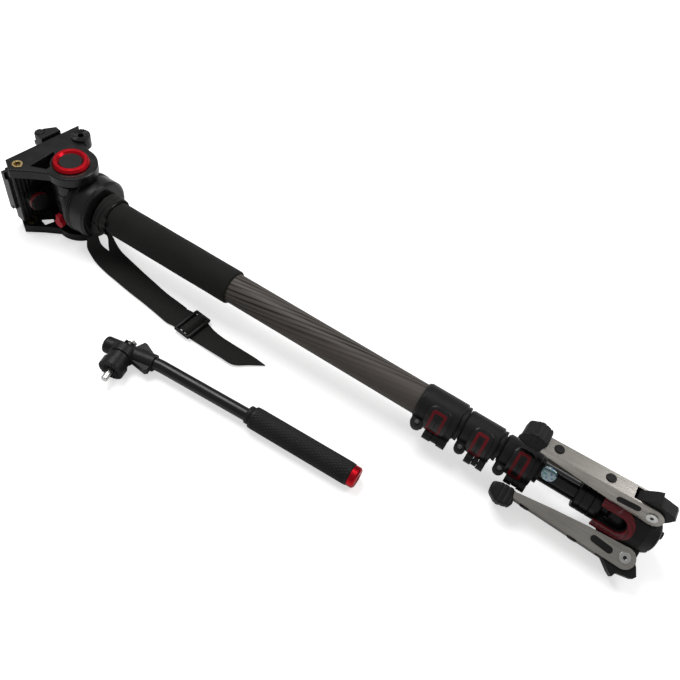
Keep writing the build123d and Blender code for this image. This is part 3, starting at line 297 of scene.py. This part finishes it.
def foam_surface():
    """Matt black foam with fine open pores."""
    s = Shader("foam")
    at = s.position()
    pores = s.add("ShaderNodeTexVoronoi", Vector=at, Scale=1500.0).outputs["Distance"]
    fine = s.noise(at, scale=900.0, detail=4.0, rough=0.7)
    mottle = s.noise(at, scale=24.0, detail=5.0, rough=0.6)
    dark, light = (0.0085, 0.0085, 0.008), (0.013, 0.013, 0.0122)
    height = s.plus(s.times(pores, 0.6), fine)
    s.set(Base_Color=s.ramp(mottle, (MOST[0], dark), (MOST[1], light)))
    s.set(Roughness=s.span(fine, *MOST, 0.74, 0.9), Specular_IOR_Level=0.12)
    s.set(Normal=s.bump(height, strength=0.45, distance=0.00022), Sheen_Weight=0.05, Sheen_Roughness=0.5)
    return s.material


def webbing_surface():
    """Black woven tape: rows of chevron picks across its width, from the tape's own coordinates."""
    rib_width, pick_length, pick_slant = 0.0011, 0.0016, 1.3
    dark, light, faded = (0.003, 0.003, 0.0029), (0.0145, 0.0145, 0.0135), (0.016, 0.016, 0.015)
    s = Shader("webbing")
    at = s.position()
    along, over, _ = s.split(s.add("ShaderNodeUVMap", {"uv_map": "tape"}).outputs[0])
    ribs = s.sine(s.times(over, FULL_TURN / rib_width))
    picks = s.sine(s.plus(s.times(along, FULL_TURN / pick_length), s.times(ribs, pick_slant)))
    weave = s.times(s.span(ribs, -1.0, 1.0, 0.25, 1.0), s.span(picks, -1.0, 1.0, 0.45, 1.0))
    fuzz = s.noise(at, scale=420.0, detail=4.0, rough=0.7)
    colour = s.blend(weave, opaque(dark), opaque(light))
    colour = s.blend(s.span(s.noise(at, scale=30.0), *MOST, 0.0, 0.35), colour, opaque(faded))
    s.set(Base_Color=colour, Roughness=s.span(fuzz, *MOST, 0.6, 0.8), Specular_IOR_Level=0.15)
    s.set(Normal=s.bump(s.plus(weave, s.times(fuzz, 0.25)), strength=0.6, distance=0.00025))
    s.set(Sheen_Weight=0.08, Sheen_Roughness=0.4)
    return s.material


def ribbed_red():
    """Dark red gloss with fine ribs fanning round the horseshoe."""
    ribs_per_radian, lean = 34.0, -0.4
    s = Shader("ribbed_red")
    at = s.position()
    x, y, z = s.from_point(at, middle_of("horseshoe"))
    fan = s.math("ARCTAN2", s.plus(y, s.times(z, lean)), x)
    ribs = s.span(s.sine(s.times(fan, ribs_per_radian)), -0.6, 0.6)
    colour = s.blend(ribs, opaque((0.06, 0.0015, 0.004)), opaque((0.12, 0.003, 0.008)))
    bevel = s.soft_edges(0.0004)[0]
    s.set(Base_Color=colour, Roughness=s.span(s.noise(at, scale=300.0), *MOST, 0.2, 0.3))
    s.set(Normal=s.bump(ribs, strength=0.35, distance=0.0003, normal=bevel), Specular_IOR_Level=0.4)
    return s.material


def disc_surface():
    """A plain pearly disc: no print, only a soft drift of pale blues and greens."""
    s = Shader("pearl_disc")
    at = s.position()
    blue, pale, green = (0.1, 0.24, 0.42), (0.62, 0.7, 0.74), (0.16, 0.42, 0.42)
    drift = s.noise(s.stretch(at, (1.0, 1.6, 1.6)), scale=210.0, detail=2.0)
    colour = s.ramp(drift, (0.36, blue), (0.5, pale), (0.64, green))
    s.set(Base_Color=colour, Roughness=0.25, Metallic=0.5)
    s.set(Normal=s.bump(s.noise(at, scale=2500.0), strength=0.08, distance=0.00004))
    return s.material


# The edge-lightening strength in each entry paints edges lighter, partly as wear and partly as a painted
# highlight.
COATED = {
    "black_cast": dict(dark=(0.0055, 0.0055, 0.0056), light=(0.008, 0.008, 0.0079), rough=0.27,
                       grain=1700.0, bumpiness=0.14, edge=0.0006, wear_and_highlight=0.6, shine=0.3),
    "black_plastic": dict(dark=(0.006, 0.006, 0.006), light=(0.0095, 0.0095, 0.0093), rough=0.42,
                          grain=2300.0, bumpiness=0.3, edge=0.0005, wear_and_highlight=0.35),
    "rubber": dict(dark=(0.0065, 0.0065, 0.0064), light=(0.0105, 0.0105, 0.0102), rough=0.5,
                   grain=1400.0, bumpiness=0.35, edge=0.0006, wear_and_highlight=0.15),
    "gloss_black": dict(dark=(0.006, 0.006, 0.0065), light=(0.009, 0.009, 0.0095), rough=0.2,
                        grain=900.0, bumpiness=0.05, edge=0.0003, wear_and_highlight=0.1, coat=0.3),
    "dark_red": dict(dark=(0.085, 0.002, 0.005), light=(0.14, 0.004, 0.009), rough=0.24,
                     grain=1200.0, bumpiness=0.08, edge=0.0004, wear_and_highlight=0.2, coat=0.2),
    "red_trim": dict(dark=(0.085, 0.002, 0.005), light=(0.13, 0.004, 0.008), rough=0.36,
                     grain=1200.0, bumpiness=0.1, edge=0.0002, wear_and_highlight=0.2),
    "red_plastic": dict(dark=(0.34, 0.006, 0.014), light=(0.46, 0.01, 0.022), rough=0.34,
                        grain=1200.0, bumpiness=0.08, edge=0.0003, wear_and_highlight=0.1),
}
METALS = {
    "aluminium": dict(bright=(0.47, 0.45, 0.415), dull=(0.38, 0.36, 0.33), rough=0.3, lines=520.0,
                      axis_scale=(0.06, 1.0, 1.0), strength=0.08),
    "steel": dict(bright=(0.74, 0.74, 0.72), dull=(0.66, 0.66, 0.64), rough=0.2, lines=500.0,
                  axis_scale=(1.0, 1.0, 0.3), strength=0.05),
    "dark_steel": dict(bright=(0.16, 0.16, 0.16), dull=(0.11, 0.11, 0.11), rough=0.3, lines=500.0,
                       axis_scale=(1.0, 1.0, 0.3), strength=0.05),
    "brass": dict(bright=(0.78, 0.6, 0.3), dull=(0.6, 0.42, 0.18), rough=0.26, lines=900.0,
                  axis_scale=(1.0, 1.0, 0.3)),
    "red_anodised": dict(bright=(0.62, 0.012, 0.022), dull=(0.5, 0.008, 0.016), rough=0.3, lines=600.0,
                         axis_scale=(1.0, 1.0, 0.5)),
}
SURFACES = {name: coated(name, **settings) for name, settings in COATED.items()}
SURFACES.update({name: metal(name, **settings) for name, settings in METALS.items()})
SURFACES.update({
    "carbon": carbon_surface(),
    "foam": foam_surface(),
    "webbing": webbing_surface(),
    "ribbed_red": ribbed_red(),
    "pearl_disc": disc_surface(),
})

# Nodes that look otherwise than their material slot says
OWN_SURFACE = {
    "tube_2": "gloss_black",
    "tube_3": "gloss_black",
    "tube_4": "gloss_black",
    "hub_disc": "black_plastic",
    "tilt_lock": "red_plastic",
    "horseshoe": "ribbed_red",
    "lock_1_bolt": "dark_steel",
    "lock_2_bolt": "dark_steel",
    "lock_3_bolt": "dark_steel",
}

for part in frame["record"]["subparts"]:
    node_name = part.get("node") or part["name"]
    slots = NODES[node_name].data.materials
    slots.clear()
    slots.append(SURFACES[OWN_SURFACE.get(node_name, part["material_slot"])])


# Pieces made here

def piece(name, points, faces, surface, body, sharp=40.0):
    """A closed mesh from points in metres, riding on its body."""
    mesh = bpy.data.meshes.new(name)
    mesh.from_pydata([tuple(p) for p in points], [], faces)
    mesh.validate()
    form = bmesh.new()
    form.from_mesh(mesh)
    bmesh.ops.recalc_face_normals(form, faces=form.faces)
    form.to_mesh(mesh)
    form.free()
    mesh.update()
    mesh.shade_smooth()
    mesh.set_sharp_from_angle(angle=math.radians(sharp))
    mesh.materials.append(SURFACES[surface])
    obj = bpy.data.objects.new(name, mesh)
    bpy.context.scene.collection.objects.link(obj)
    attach(obj, body)
    return obj


def wrapped(rows, columns, closed_rows=True):
    """Quads over a grid of points given row by row, each row closed on itself."""
    faces = []
    for i in range(rows if closed_rows else rows - 1):
        a, b = i * columns, ((i + 1) % rows) * columns
        for j in range(columns):
            k = (j + 1) % columns
            faces.append((a + j, a + k, b + k, b + j))
    return faces


def capped(rows, columns):
    """Quads over the rows, and a flat face over the first row and the last."""
    last = (rows - 1) * columns
    first_cap = tuple(range(columns - 1, -1, -1))
    last_cap = tuple(range(last, last + columns))
    return wrapped(rows, columns, closed_rows=False) + [first_cap, last_cap]


def shifted(faces, base):
    return [tuple(base + v for v in face) for face in faces]


def circle(middle, axis, radius, turns):
    """Points round an axis."""
    side = axis.orthogonal().normalized()
    over = axis.cross(side)
    found = []
    for j in range(turns):
        turn = FULL_TURN * j / turns
        found.append(middle + (side * math.cos(turn) + over * math.sin(turn)) * radius)
    return found


def off_axis(point, middle, axis):
    """How far a point lies along an axis from its middle, and how far from the axis."""
    offset = point - middle
    along = offset.dot(axis)
    return along, (offset - axis * along).length


def foam_grip():
    """The padded sleeve: a soft tube, a little uneven, with rolled ends."""
    outer, inner, roll = 17.3, 15.05, 2.0
    waviness, sway, sway_per_mm, lobes, twist_per_mm = 0.07, 2.0, 0.11, 3.0, 0.03
    turns, bend_steps, long_steps = 96, 8, 70
    profile = []
    for k in range(bend_steps + 1):
        bend = math.radians(90.0 * k / bend_steps)
        profile.append((GRIP_START + roll - roll * math.cos(bend), outer - roll + roll * math.sin(bend)))
    for k in range(1, long_steps):
        profile.append((GRIP_START + roll + (GRIP_LENGTH - 2 * roll) * k / long_steps, outer))
    for k in range(bend_steps + 1):
        bend = math.radians(90.0 - 90.0 * k / bend_steps)
        profile.append((GRIP_END - roll + roll * math.cos(bend), outer - roll + roll * math.sin(bend)))
    outside = len(profile)
    profile += [(GRIP_END, inner), (GRIP_START, inner)]
    points = []
    for k, (station, radius) in enumerate(profile):
        for j in range(turns):
            around = FULL_TURN * j / turns
            wave = 0.0
            if k < outside:
                swayed = math.sin(station * sway_per_mm + sway * math.sin(around))
                wave = waviness * (swayed * math.sin(lobes * around + station * twist_per_mm) - 1.0)
            points.append(column(station, 360.0 * j / turns, radius + wave))
    grip = piece("foam_sleeve", points, wrapped(len(profile), turns), "foam", body_of("foam_grip"))
    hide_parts("foam_grip")


def knurled_grip():
    """The handle's rubber sleeve with raised diamonds cut by crossing grooves, and its ferrule."""
    length, outer, inner = 102.0, 10.5, 6.02
    lip, lip_drop, lip_foot = 0.75, 0.25, 0.3
    plain, border, border_drop = 3.2, 0.9, 0.15
    ferrule, ferrule_outer, ferrule_edge, neck = 5.0, 8.6, 0.5, 0.6
    starts, steepness, groove_width, groove_depth, crest = 22, 0.62, 0.55, 0.55, 0.1
    slant = steepness * starts / outer
    turns, rows = 264, 330
    profile = [
        (-ferrule, inner),
        (-ferrule, ferrule_outer - ferrule_edge),
        (ferrule_edge - ferrule, ferrule_outer),
        (-2 * neck, ferrule_outer),
        (-neck, ferrule_outer - ferrule_edge),
        (0.0, ferrule_outer - ferrule_edge),
        (0.0, outer - lip - lip_foot),
        (lip / 2, outer - lip / 2),
        (lip, outer - lip_drop),
        (plain - border, outer - border_drop),
    ]
    first = len(profile)
    for k in range(rows + 1):
        profile.append((plain + (length - 2 * plain) * k / rows, outer - crest))
    last = len(profile)
    profile += [
        (length - plain + border, outer - border_drop),
        (length - lip, outer - lip_drop),
        (length - lip / 2, outer - lip / 2),
        (length, outer - lip - lip_foot),
        (length, inner),
    ]
    points = []
    for k, (station, radius) in enumerate(profile):
        for j in range(turns):
            turn = FULL_TURN * j / turns
            rise = 0.0
            if first <= k < last:
                one = abs(math.sin(0.5 * (starts * turn + slant * station)))
                two = abs(math.sin(0.5 * (starts * turn - slant * station)))
                rise = crest - groove_depth * (1.0 - min(1.0, min(one, two) / groove_width))
            r = radius + rise
            points.append(HANDLE @ (Vector((station, -r * math.sin(turn), r * math.cos(turn))) * MM))
    grip = piece("knurled_sleeve", points, wrapped(len(profile), turns), "rubber",
                 body_of("handle_grip"), sharp=60.0)
    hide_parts("handle_grip")


def rubber_foot(name):
    """The foot's solid with its corners worn round, soft dents and tread grooves across it."""
    weld_gap, voxel, passes = 0.00001, 0.0007, 26
    pitch, half_groove, groove_reach, groove_depth = 4.8, 0.8, 7.6, 0.75
    dent_depth, dent_scale = 0.35, 170.0
    source = NODES[name]
    obj = bpy.data.objects.new(name + "_rubber", source.data.copy())
    obj.matrix_world = source.matrix_world
    bpy.context.scene.collection.objects.link(obj)
    obj.modifiers.new("weld", "WELD").merge_threshold = weld_gap
    even = obj.modifiers.new("even", "REMESH")
    even.mode = "VOXEL"
    even.voxel_size = voxel
    even.use_smooth_shade = True
    soft = obj.modifiers.new("soft", "SMOOTH")
    soft.factor = 0.5
    soft.iterations = passes
    shaped = bpy.data.meshes.new_from_object(obj.evaluated_get(bpy.context.evaluated_depsgraph_get()))
    obj.modifiers.clear()
    obj.data = shaped
    middle = middle_of(name)
    axis = (column(1.0, 0.0, 0.0) - column(0.0, 0.0, 0.0)).normalized()
    normals = [v.normal.copy() for v in shaped.vertices]
    for vertex, normal in zip(shaped.vertices, normals):
        place = vertex.co - middle
        along = place.dot(axis) / MM
        flank = 1.0 - abs(normal.dot(axis))
        groove = 0.0
        if abs(along) < groove_reach:
            groove = max(0.0, 1.0 - abs((along + pitch / 2) % pitch - pitch / 2) / half_groove)
        dents = noise.noise(place * dent_scale) * dent_depth
        vertex.co -= normal * (groove * flank * groove_depth + dents) * MM
    shaped.update()
    shaped.shade_smooth()
    shaped.materials.clear()
    shaped.materials.append(SURFACES["rubber"])
    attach(obj, body_of(name))
    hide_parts(name)


def knob_band():
    """A plain dark red band round the knob between the cheeks."""
    set_back, turns = 1.4, 96
    section = ((0.0, -0.4), (0.0, 0.12), (0.3, 0.25), (3.3, 0.25), (3.6, 0.12), (3.6, -0.4))
    axis = Vector(JOINTS["drag_knob_turn"]["axis"]).normalized()
    middle = middle_of("red_knob")
    places = [off_axis(v.co, middle, axis) for v in NODES["red_knob"].data.vertices]
    face = min(along for along, _ in places)
    radius = max(off for _, off in places)
    points = []
    for along, rise in section:
        points += circle(middle + axis * (face + (set_back + along) * MM), axis, radius + rise * MM, turns)
    piece("knob_band", points, wrapped(len(section), turns), "dark_red", body_of("red_knob"))


def painted_socket_shade():
    """A gloss black disc at both ends of each leg's pivot pin: painted shade standing in for the socket in
    its head.
    """
    radius, depth, proud, pin_reach, turns = 1.5, 0.3, 0.03, 6.0, 24
    vertices = [v.co for v in NODES["leg_pins"].data.vertices]
    points, faces = [], []
    for leg in (1, 2, 3):
        joint = JOINTS[f"leg_{leg}_fold"]
        axis, pivot = Vector(joint["axis"]).normalized(), Vector(joint["pos_m"])
        places = [off_axis(v, pivot, axis) for v in vertices]
        pin = [along for along, off in places if off < pin_reach * MM]
        # Each disc sits a hair proud of the pin's end, a dark sheet placed where the socket's shade would be.
        for end, outward in ((max(pin), 1.0), (min(pin), -1.0)):
            base = len(points)
            for lift in (-depth, proud):
                points += circle(pivot + axis * (end + outward * lift * MM), axis, radius * MM, turns)
            faces += shifted(capped(2, turns), base)
    piece("painted_socket_shade", points, faces, "gloss_black", body_of("leg_pins"), sharp=30.0)


# Lever covers: a raised plate on each lever, with a dark red outline standing a little above it

COVER_RADIUS = (20.6, 18.6, 17.4)
INLAY_TOP = (38.0, 29.0, 16.0)
INLAY_BOTTOM = 104.0
INLAY_FIRST = 0.4
INLAY_LAST = 0.745


def lever_cover(index):
    radius, top = COVER_RADIUS[index], INLAY_TOP[index]
    first = LOCK_START[index] + INLAY_FIRST * LOCK_LENGTH[index]
    last = LOCK_START[index] + INLAY_LAST * LOCK_LENGTH[index]
    degrees_per_mm = math.degrees(1.0 / radius)
    corner_radius, corner_points, edge_steps = 2.4, 7, 12

    def loop(inset, r):
        """Points round a rounded rectangle on the lever, inset from the outline's outer edge."""
        x0, x1 = first + inset, last - inset
        a0, a1 = top + inset * degrees_per_mm, INLAY_BOTTOM - inset * degrees_per_mm
        corner = max(0.15, corner_radius - inset)
        found = []
        for cx, ca, base in ((x0, a0, 180.0), (x1, a0, 270.0), (x1, a1, 0.0), (x0, a1, 90.0)):
            for k in range(corner_points):
                bend = math.radians(base + 90.0 * k / (corner_points - 1))
                x = cx + corner * (math.cos(bend) + (1 if cx == x0 else -1))
                angle = ca + corner * degrees_per_mm * (math.sin(bend) + (1 if ca == a0 else -1))
                found.append((x, angle))
        even = []
        for k, (x, angle) in enumerate(found):
            next_x, next_angle = found[(k + 1) % len(found)]
            steps = edge_steps if k % corner_points == corner_points - 1 else 1
            for m in range(steps):
                share = m / steps
                even.append((x + (next_x - x) * share, angle + (next_angle - angle) * share))
        return [column(x, angle, r) for x, angle in even]

    def ring_piece(name, section, surface, sharp):
        rings = [loop(inset, r) for inset, r in section]
        points = [p for ring in rings for p in ring]
        lever = body_of(f"lock_{index + 1}_lever")
        piece(name, points, wrapped(len(rings), len(rings[0])), surface, lever, sharp=sharp)

    raised, sunk, margin, middle_gap = 1.1, 0.6, 3.9, 0.2
    half = (last - first) / 2 - middle_gap
    edge_steps_in = ((0.0, 0.45), (0.3, 0.8), (0.9, raised))
    rounded_edge = [(inward - margin, radius + rise) for inward, rise in edge_steps_in]
    ring_piece(f"lock_{index + 1}_cover", [
        (-margin, radius - sunk),
        *rounded_edge,
        (0.0, radius + raised),
        (half / 2, radius + raised),
        (half, radius + raised),
        (half, radius - sunk),
        (half / 2, radius - sunk),
        (0.0, radius - sunk),
    ], "black_cast", 50.0)

    width, gap, bevel, foot, proud = 2.9, 0.08, 0.15, 0.5, 0.12
    low, level, high = radius + foot, radius + raised, radius + raised + proud
    ring_piece(f"lock_{index + 1}_inlay", [
        (gap, low),
        (gap, level),
        (gap + bevel, high),
        (width - gap - bevel, high),
        (width - gap, level),
        (width - gap, low),
    ], "red_trim", 35.0)


def round_disc():
    """The plain round disc stuck on the last tube."""
    station, angle, radius, tube = 532.2, 29.0, 6.6, 9.0
    top, bottom, edge_drop = 0.16, 0.01, 0.05
    rings, smallest_ring, turns = 8, 0.02, 48
    points = []
    for lift in (top, bottom):
        for k in range(rings + 1):
            drop = edge_drop if lift == top and k == rings else 0.0
            r = radius * max(k, smallest_ring) / rings
            for j in range(turns):
                turn = FULL_TURN * j / turns
                round_tube = math.degrees(r * math.sin(turn) / tube)
                points.append(column(station + r * math.cos(turn), angle + round_tube, tube + lift - drop))
    side = (rings + 1) * turns
    upper = wrapped(rings + 1, turns, closed_rows=False)
    under = [tuple(reversed([v + side for v in face])) for face in upper]
    rim = []
    for j in range(turns):
        a, b = rings * turns + j, rings * turns + (j + 1) % turns
        rim.append((a, b, side + b, side + a))
    caps = [tuple(range(turns - 1, -1, -1)), tuple(range(side, side + turns))]
    piece("round_disc", points, upper + under + rim + caps, "pearl_disc", body_of("tube_4"))


# Wrist strap: the loop at the neck, two lengths of tape down to the buckle, and the free tail past it

TAPE_THICKNESS = 1.1
TAPE_COLUMNS = 17
TAPE_STEPS = 12
UPPER_REST = 1.95
LOWER_REST = 0.75


def smooth_line(points):
    """Catmull-Rom points through a list of tuples of numbers."""
    found = []
    last = len(points) - 1
    for i in range(last):
        p0, p1, p2, p3 = points[max(i - 1, 0)], points[i], points[i + 1], points[min(i + 2, last)]
        for k in range(TAPE_STEPS):
            t = k / TAPE_STEPS
            row = []
            for a, b, c, d in zip(p0, p1, p2, p3):
                square, cube = 2 * a - 5 * b + 4 * c - d, 3 * b - a - 3 * c + d
                row.append(0.5 * (2 * b + (c - a) * t + square * t * t + cube * t ** 3))
            found.append(tuple(row))
    found.append(tuple(points[-1]))
    return found


def tape(name, edges, ripple=0.0):
    """Webbing between two edge lines: each row is (near x, y, z, far x, y, z) in millimetres."""
    thinning, squareness = 0.45, 8
    waves_across, swing, swing_per_mm = 2.4, 1.7, 0.13
    small_share, small_per_mm, small_across = 0.3, 0.55, 5.0
    rows = smooth_line(edges)
    points, coords, travelled = [], [], 0.0
    middle_before, normal_before = None, None
    for i, row in enumerate(rows):
        near, far = Vector(row[:3]), Vector(row[3:])
        middle = (near + far) / 2
        if middle_before is not None:
            travelled += (middle - middle_before).length
        middle_before = middle
        ahead, behind = rows[min(i + 1, len(rows) - 1)], rows[max(i - 1, 0)]
        along = Vector(ahead[:3]) + Vector(ahead[3:]) - Vector(behind[:3]) - Vector(behind[3:])
        normal = (far - near).normalized().cross(along.normalized()).normalized()
        if normal_before is not None and normal.dot(normal_before) < 0:
            normal = -normal
        normal_before = normal
        for sign in (1, -1):
            for k in range(TAPE_COLUMNS):
                share = k / (TAPE_COLUMNS - 1)
                if sign < 0:
                    share = 1.0 - share
                swell = 1.0 - thinning * (abs(2.0 * share - 1.0) ** squareness)
                swung = swing * math.sin(travelled * swing_per_mm)
                lift = ripple * math.sin(FULL_TURN * waves_across * share + swung)
                lift += small_share * ripple * math.sin(travelled * small_per_mm + small_across * share)
                at = near.lerp(far, share) + normal * (sign * swell * TAPE_THICKNESS / 2 + lift)
                points.append(at * MM)
                coords.append((travelled * MM, share * (far - near).length * MM))
    faces = capped(len(rows), 2 * TAPE_COLUMNS)
    obj = piece(name, points, faces, "webbing", body_of("wrist_strap"))
    layer = obj.data.uv_layers.new(name="tape")
    for corner in obj.data.loops:
        layer.data[corner.index].uv = coords[corner.vertex_index]
    return obj


# The buckle's place on the ground, and the tape's height as it climbs over the middle bar, in millimetres

BUCKLE_PLACE = Vector((-110.0, 8.6))
BUCKLE_TURN = math.radians(-6.0)
BUCKLE_ALONG = Vector((math.cos(BUCKLE_TURN), math.sin(BUCKLE_TURN)))
BUCKLE_ACROSS = Vector((-BUCKLE_ALONG.y, BUCKLE_ALONG.x))
THROUGH_BUCKLE = ((-13.5, 1.9), (-9.0, 1.9), (-6.2, 3.0), (-3.9, 5.4), (-1.6, 6.9), (1.6, 6.9), (3.9, 5.4),
                  (6.2, 3.0), (9.0, 1.9))
HALF_TAPE = 12.6


def on_buckle(along, across):
    return BUCKLE_PLACE + BUCKLE_ALONG * along + BUCKLE_ACROSS * across


def bar(start, end, width, high, low, rounding):
    """Points and faces of a bar with rounded edges between two places on the ground, in millimetres."""
    corner_steps = 4
    taper = ((0.0, 0.55), (0.03, 0.85), (0.07, 1.0), (0.93, 1.0), (0.97, 0.85), (1.0, 0.55))
    along = (end - start).normalized()
    side = Vector((-along.y, along.x)) * width / 2
    round_share = rounding / (width / 2)
    section = []
    for cu, cz, first in ((1, high, 0.0), (-1, high, 90.0), (-1, low, 180.0), (1, low, 270.0)):
        inward = -rounding if cz == high else rounding
        for k in range(corner_steps + 1):
            bend = math.radians(first + 90.0 * k / corner_steps)
            u = cu * (1.0 - round_share) + math.cos(bend) * round_share
            section.append((u, cz + inward + math.sin(bend) * rounding))
    middle = (high + low) / 2
    points = []
    for share, size in taper:
        for u, z in section:
            at = start.lerp(end, share) + side * u * size
            points.append(Vector((at.x, at.y, middle + (z - middle) * size)) * MM)
    return points, capped(len(taper), len(section))


def strap_buckle():
    """The three-bar buckle, set square to the webbing: three bars across it and a rail along each edge."""
    half_long, half_across, middle_inset, rail_inset = 9.6, 15.6, 1.0, 0.6
    end_bar = dict(width=3.0, high=6.6, low=2.7, rounding=1.2)
    middle_bar = dict(width=2.6, high=6.2, low=3.6, rounding=1.1)
    rail = dict(width=2.6, high=6.4, low=2.8, rounding=1.1)
    points, faces = [], []

    def add(start, end, size):
        found, bar_faces = bar(on_buckle(*start), on_buckle(*end), **size)
        faces.extend(shifted(bar_faces, len(points)))
        points.extend(found)

    end_place = half_long - end_bar["width"] / 2
    for along in (-end_place, end_place):
        add((along, -half_across), (along, half_across), end_bar)
    middle_end = half_across - middle_inset
    add((0.0, -middle_end), (0.0, middle_end), middle_bar)
    rail_place, rail_end = half_across - rail["width"] / 2, half_long - rail_inset
    for across in (-rail_place, rail_place):
        add((-rail_end, across), (rail_end, across), rail)
    buckle = piece("buckle_frame", points, faces, "black_plastic", body_of("strap_buckle"),
                   sharp=50.0)
    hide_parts("strap_buckle")


def on_column(station, angle, radius):
    return tuple(column(station, angle, radius) / MM)


def wrist_strap():
    """The gathered loop round the neck, its two ends lying one on the other, and the tail past the buckle."""
    first_angle, step, rows, sway = 112.0, 20.0, 19, 0.7
    near_station, near_radius = 39.6, 19.9
    far_station, far_radius, far_lead, far_share = 52.2, 19.0, 3.0, 0.6
    loop = []
    for k in range(rows):
        angle = first_angle - step * k
        drift = sway * math.sin(math.radians(angle * 2.0))
        near = on_column(near_station + drift, angle, near_radius)
        far = on_column(far_station - far_share * drift, angle + far_lead, far_radius)
        loop.append(near + far)
    tape("tape_loop", loop, ripple=0.55)
    upper = [
        on_column(38.5, 84.0, 20.6) + on_column(46.5, 88.0, 20.6),
        on_column(38.0, 104.0, 21.4) + on_column(47.0, 106.0, 21.4),
        (-256.0, 24.0, 23.0, -247.0, 29.5, 25.5),
        (-256.0, 21.5, 15.0, -244.4, 28.3, 16.5),
        (-254.0, 18.8, 9.0, -241.0, 29.0, 11.0),
        (-248.0, 16.5, 4.8, -234.0, 30.6, 7.0),
        (-238.2, 13.2, 2.6, -226.0, 31.4, 4.4),
        (-223.0, 9.8, UPPER_REST, -214.0, 31.2, 2.6),
        (-205.0, 7.0, UPPER_REST, -199.0, 29.6, UPPER_REST),
        (-186.0, 4.2, UPPER_REST, -180.5, 27.4, UPPER_REST),
        (-165.0, 1.7, UPPER_REST, -160.5, 25.2, UPPER_REST),
        (-147.0, -1.0, UPPER_REST, -143.5, 23.2, UPPER_REST),
        (-133.0, -3.2, UPPER_REST, -130.5, 21.8, UPPER_REST),
    ]
    for along, height in THROUGH_BUCKLE:
        near, far = on_buckle(along, -HALF_TAPE), on_buckle(along, HALF_TAPE)
        upper.append((near.x, near.y, height, far.x, far.y, height))
    upper += [
        (-92.2, -5.1, 2.0, -91.0, 17.4, 1.4),
        (-80.0, -5.5, 2.6, -79.7, 15.8, 1.05),
        (-66.0, -5.7, 3.0, -67.0, 15.4, 0.95),
        (-50.5, -5.0, 2.6, -51.5, 15.2, 0.95),
        (-38.0, 4.6, 1.8, -38.5, 14.8, 1.2),
        (-27.5, 12.6, 1.0, -26.4, 13.8, 1.0),
    ]
    upper_tape = tape("tape_upper", upper)
    lower = [
        on_column(49.5, 50.0, 20.4) + on_column(55.0, 52.0, 19.6),
        on_column(49.8, 72.0, 21.2) + on_column(55.5, 74.0, 20.8),
        (-245.9, 35.5, 28.0, -239.6, 37.6, 29.0),
        (-240.9, 35.9, 20.0, -235.6, 38.4, 20.5),
        (-237.0, 31.7, 12.5, -230.2, 37.6, 13.0),
        (-232.0, 27.0, 5.5, -224.5, 38.0, 5.8),
        (-224.0, 20.5, 1.3, -213.5, 37.4, 1.8),
        (-212.0, 13.6, 0.8, -202.5, 35.4, 0.9),
        (-197.0, 9.4, LOWER_REST, -190.0, 32.8, LOWER_REST),
        (-180.0, 6.4, LOWER_REST, -174.0, 29.7, LOWER_REST),
        (-161.0, 3.4, LOWER_REST, -156.5, 26.4, LOWER_REST),
        (-146.0, 0.8, LOWER_REST, -142.0, 24.9, LOWER_REST),
        (-131.0, -1.0, LOWER_REST, -129.0, 23.4, LOWER_REST),
    ]
    tape("tape_lower", lower)
    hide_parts("wrist_strap")


foam_grip()
wrist_strap()
strap_buckle()
knurled_grip()
for lock in range(3):
    lever_cover(lock)
round_disc()
knob_band()
painted_socket_shade()
for leg in (1, 2, 3):
    rubber_foot(f"leg_{leg}_foot")


# Floor, world and lamps

FLOOR_REACH = 6.0
FLOOR_GLOW = 0.55
AMBIENT = 0.36
corners = [(-FLOOR_REACH, -FLOOR_REACH, 0), (FLOOR_REACH, -FLOOR_REACH, 0),
           (FLOOR_REACH, FLOOR_REACH, 0), (-FLOOR_REACH, FLOOR_REACH, 0)]
floor_mesh = bpy.data.meshes.new("floor")
floor_mesh.from_pydata(corners, [], [(0, 1, 2, 3)])
floor = bpy.data.objects.new("floor", floor_mesh)
bpy.context.scene.collection.objects.link(floor)
floor_shader = Shader("floor")
tree = floor_shader.tree
tree.nodes.remove(floor_shader.surface)
matt = floor_shader.add("ShaderNodeBsdfDiffuse", Color=grey(0.8))
glow = floor_shader.add("ShaderNodeEmission", Color=grey(1.0), Strength=FLOOR_GLOW)
both = floor_shader.add("ShaderNodeAddShader", i0=matt.outputs[0], i1=glow.outputs[0])
rays = floor_shader.add("ShaderNodeLightPath")
seen = floor_shader.math("MAXIMUM", rays.outputs["Is Camera Ray"], rays.outputs["Is Transmission Ray"])
mixed = floor_shader.add("ShaderNodeMixShader", i0=seen, i1=matt.outputs[0], i2=both.outputs[0])
tree.links.new(mixed.outputs[0], tree.nodes["Material Output"].inputs["Surface"])
floor_mesh.materials.append(floor_shader.material)

world = bpy.data.worlds.new("studio")
bpy.context.scene.world = world
world.use_nodes = True
sky = world.node_tree
sky_back = sky.nodes["Background"]
sky_back.inputs["Color"].default_value = grey(1.0)
sky_rays = sky.nodes.new("ShaderNodeLightPath")
brightness = sky.nodes.new("ShaderNodeMapRange")
brightness.inputs["To Min"].default_value = AMBIENT
brightness.inputs["To Max"].default_value = 1.0
sky.links.new(sky_rays.outputs["Is Camera Ray"], brightness.inputs["Value"])
sky.links.new(brightness.outputs[0], sky_back.inputs["Strength"])


def lamp(name, place, size, power):
    """A soft rectangular lamp aimed at the middle of the object."""
    data = bpy.data.lights.new(name, "AREA")
    data.shape = "RECTANGLE"
    data.size, data.size_y = size
    data.energy = power
    obj = bpy.data.objects.new(name, data)
    obj.location = place
    obj.rotation_euler = Vector(place).to_track_quat("Z", "Y").to_euler()
    bpy.context.scene.collection.objects.link(obj)


lamp("key", place=(-0.55, 0.25, 1.25), size=(0.8, 0.5), power=11.5)
lamp("fill", place=(0.75, 0.75, 1.0), size=(0.7, 0.4), power=4.5)

bpy.context.scene.view_settings.view_transform = "Standard"
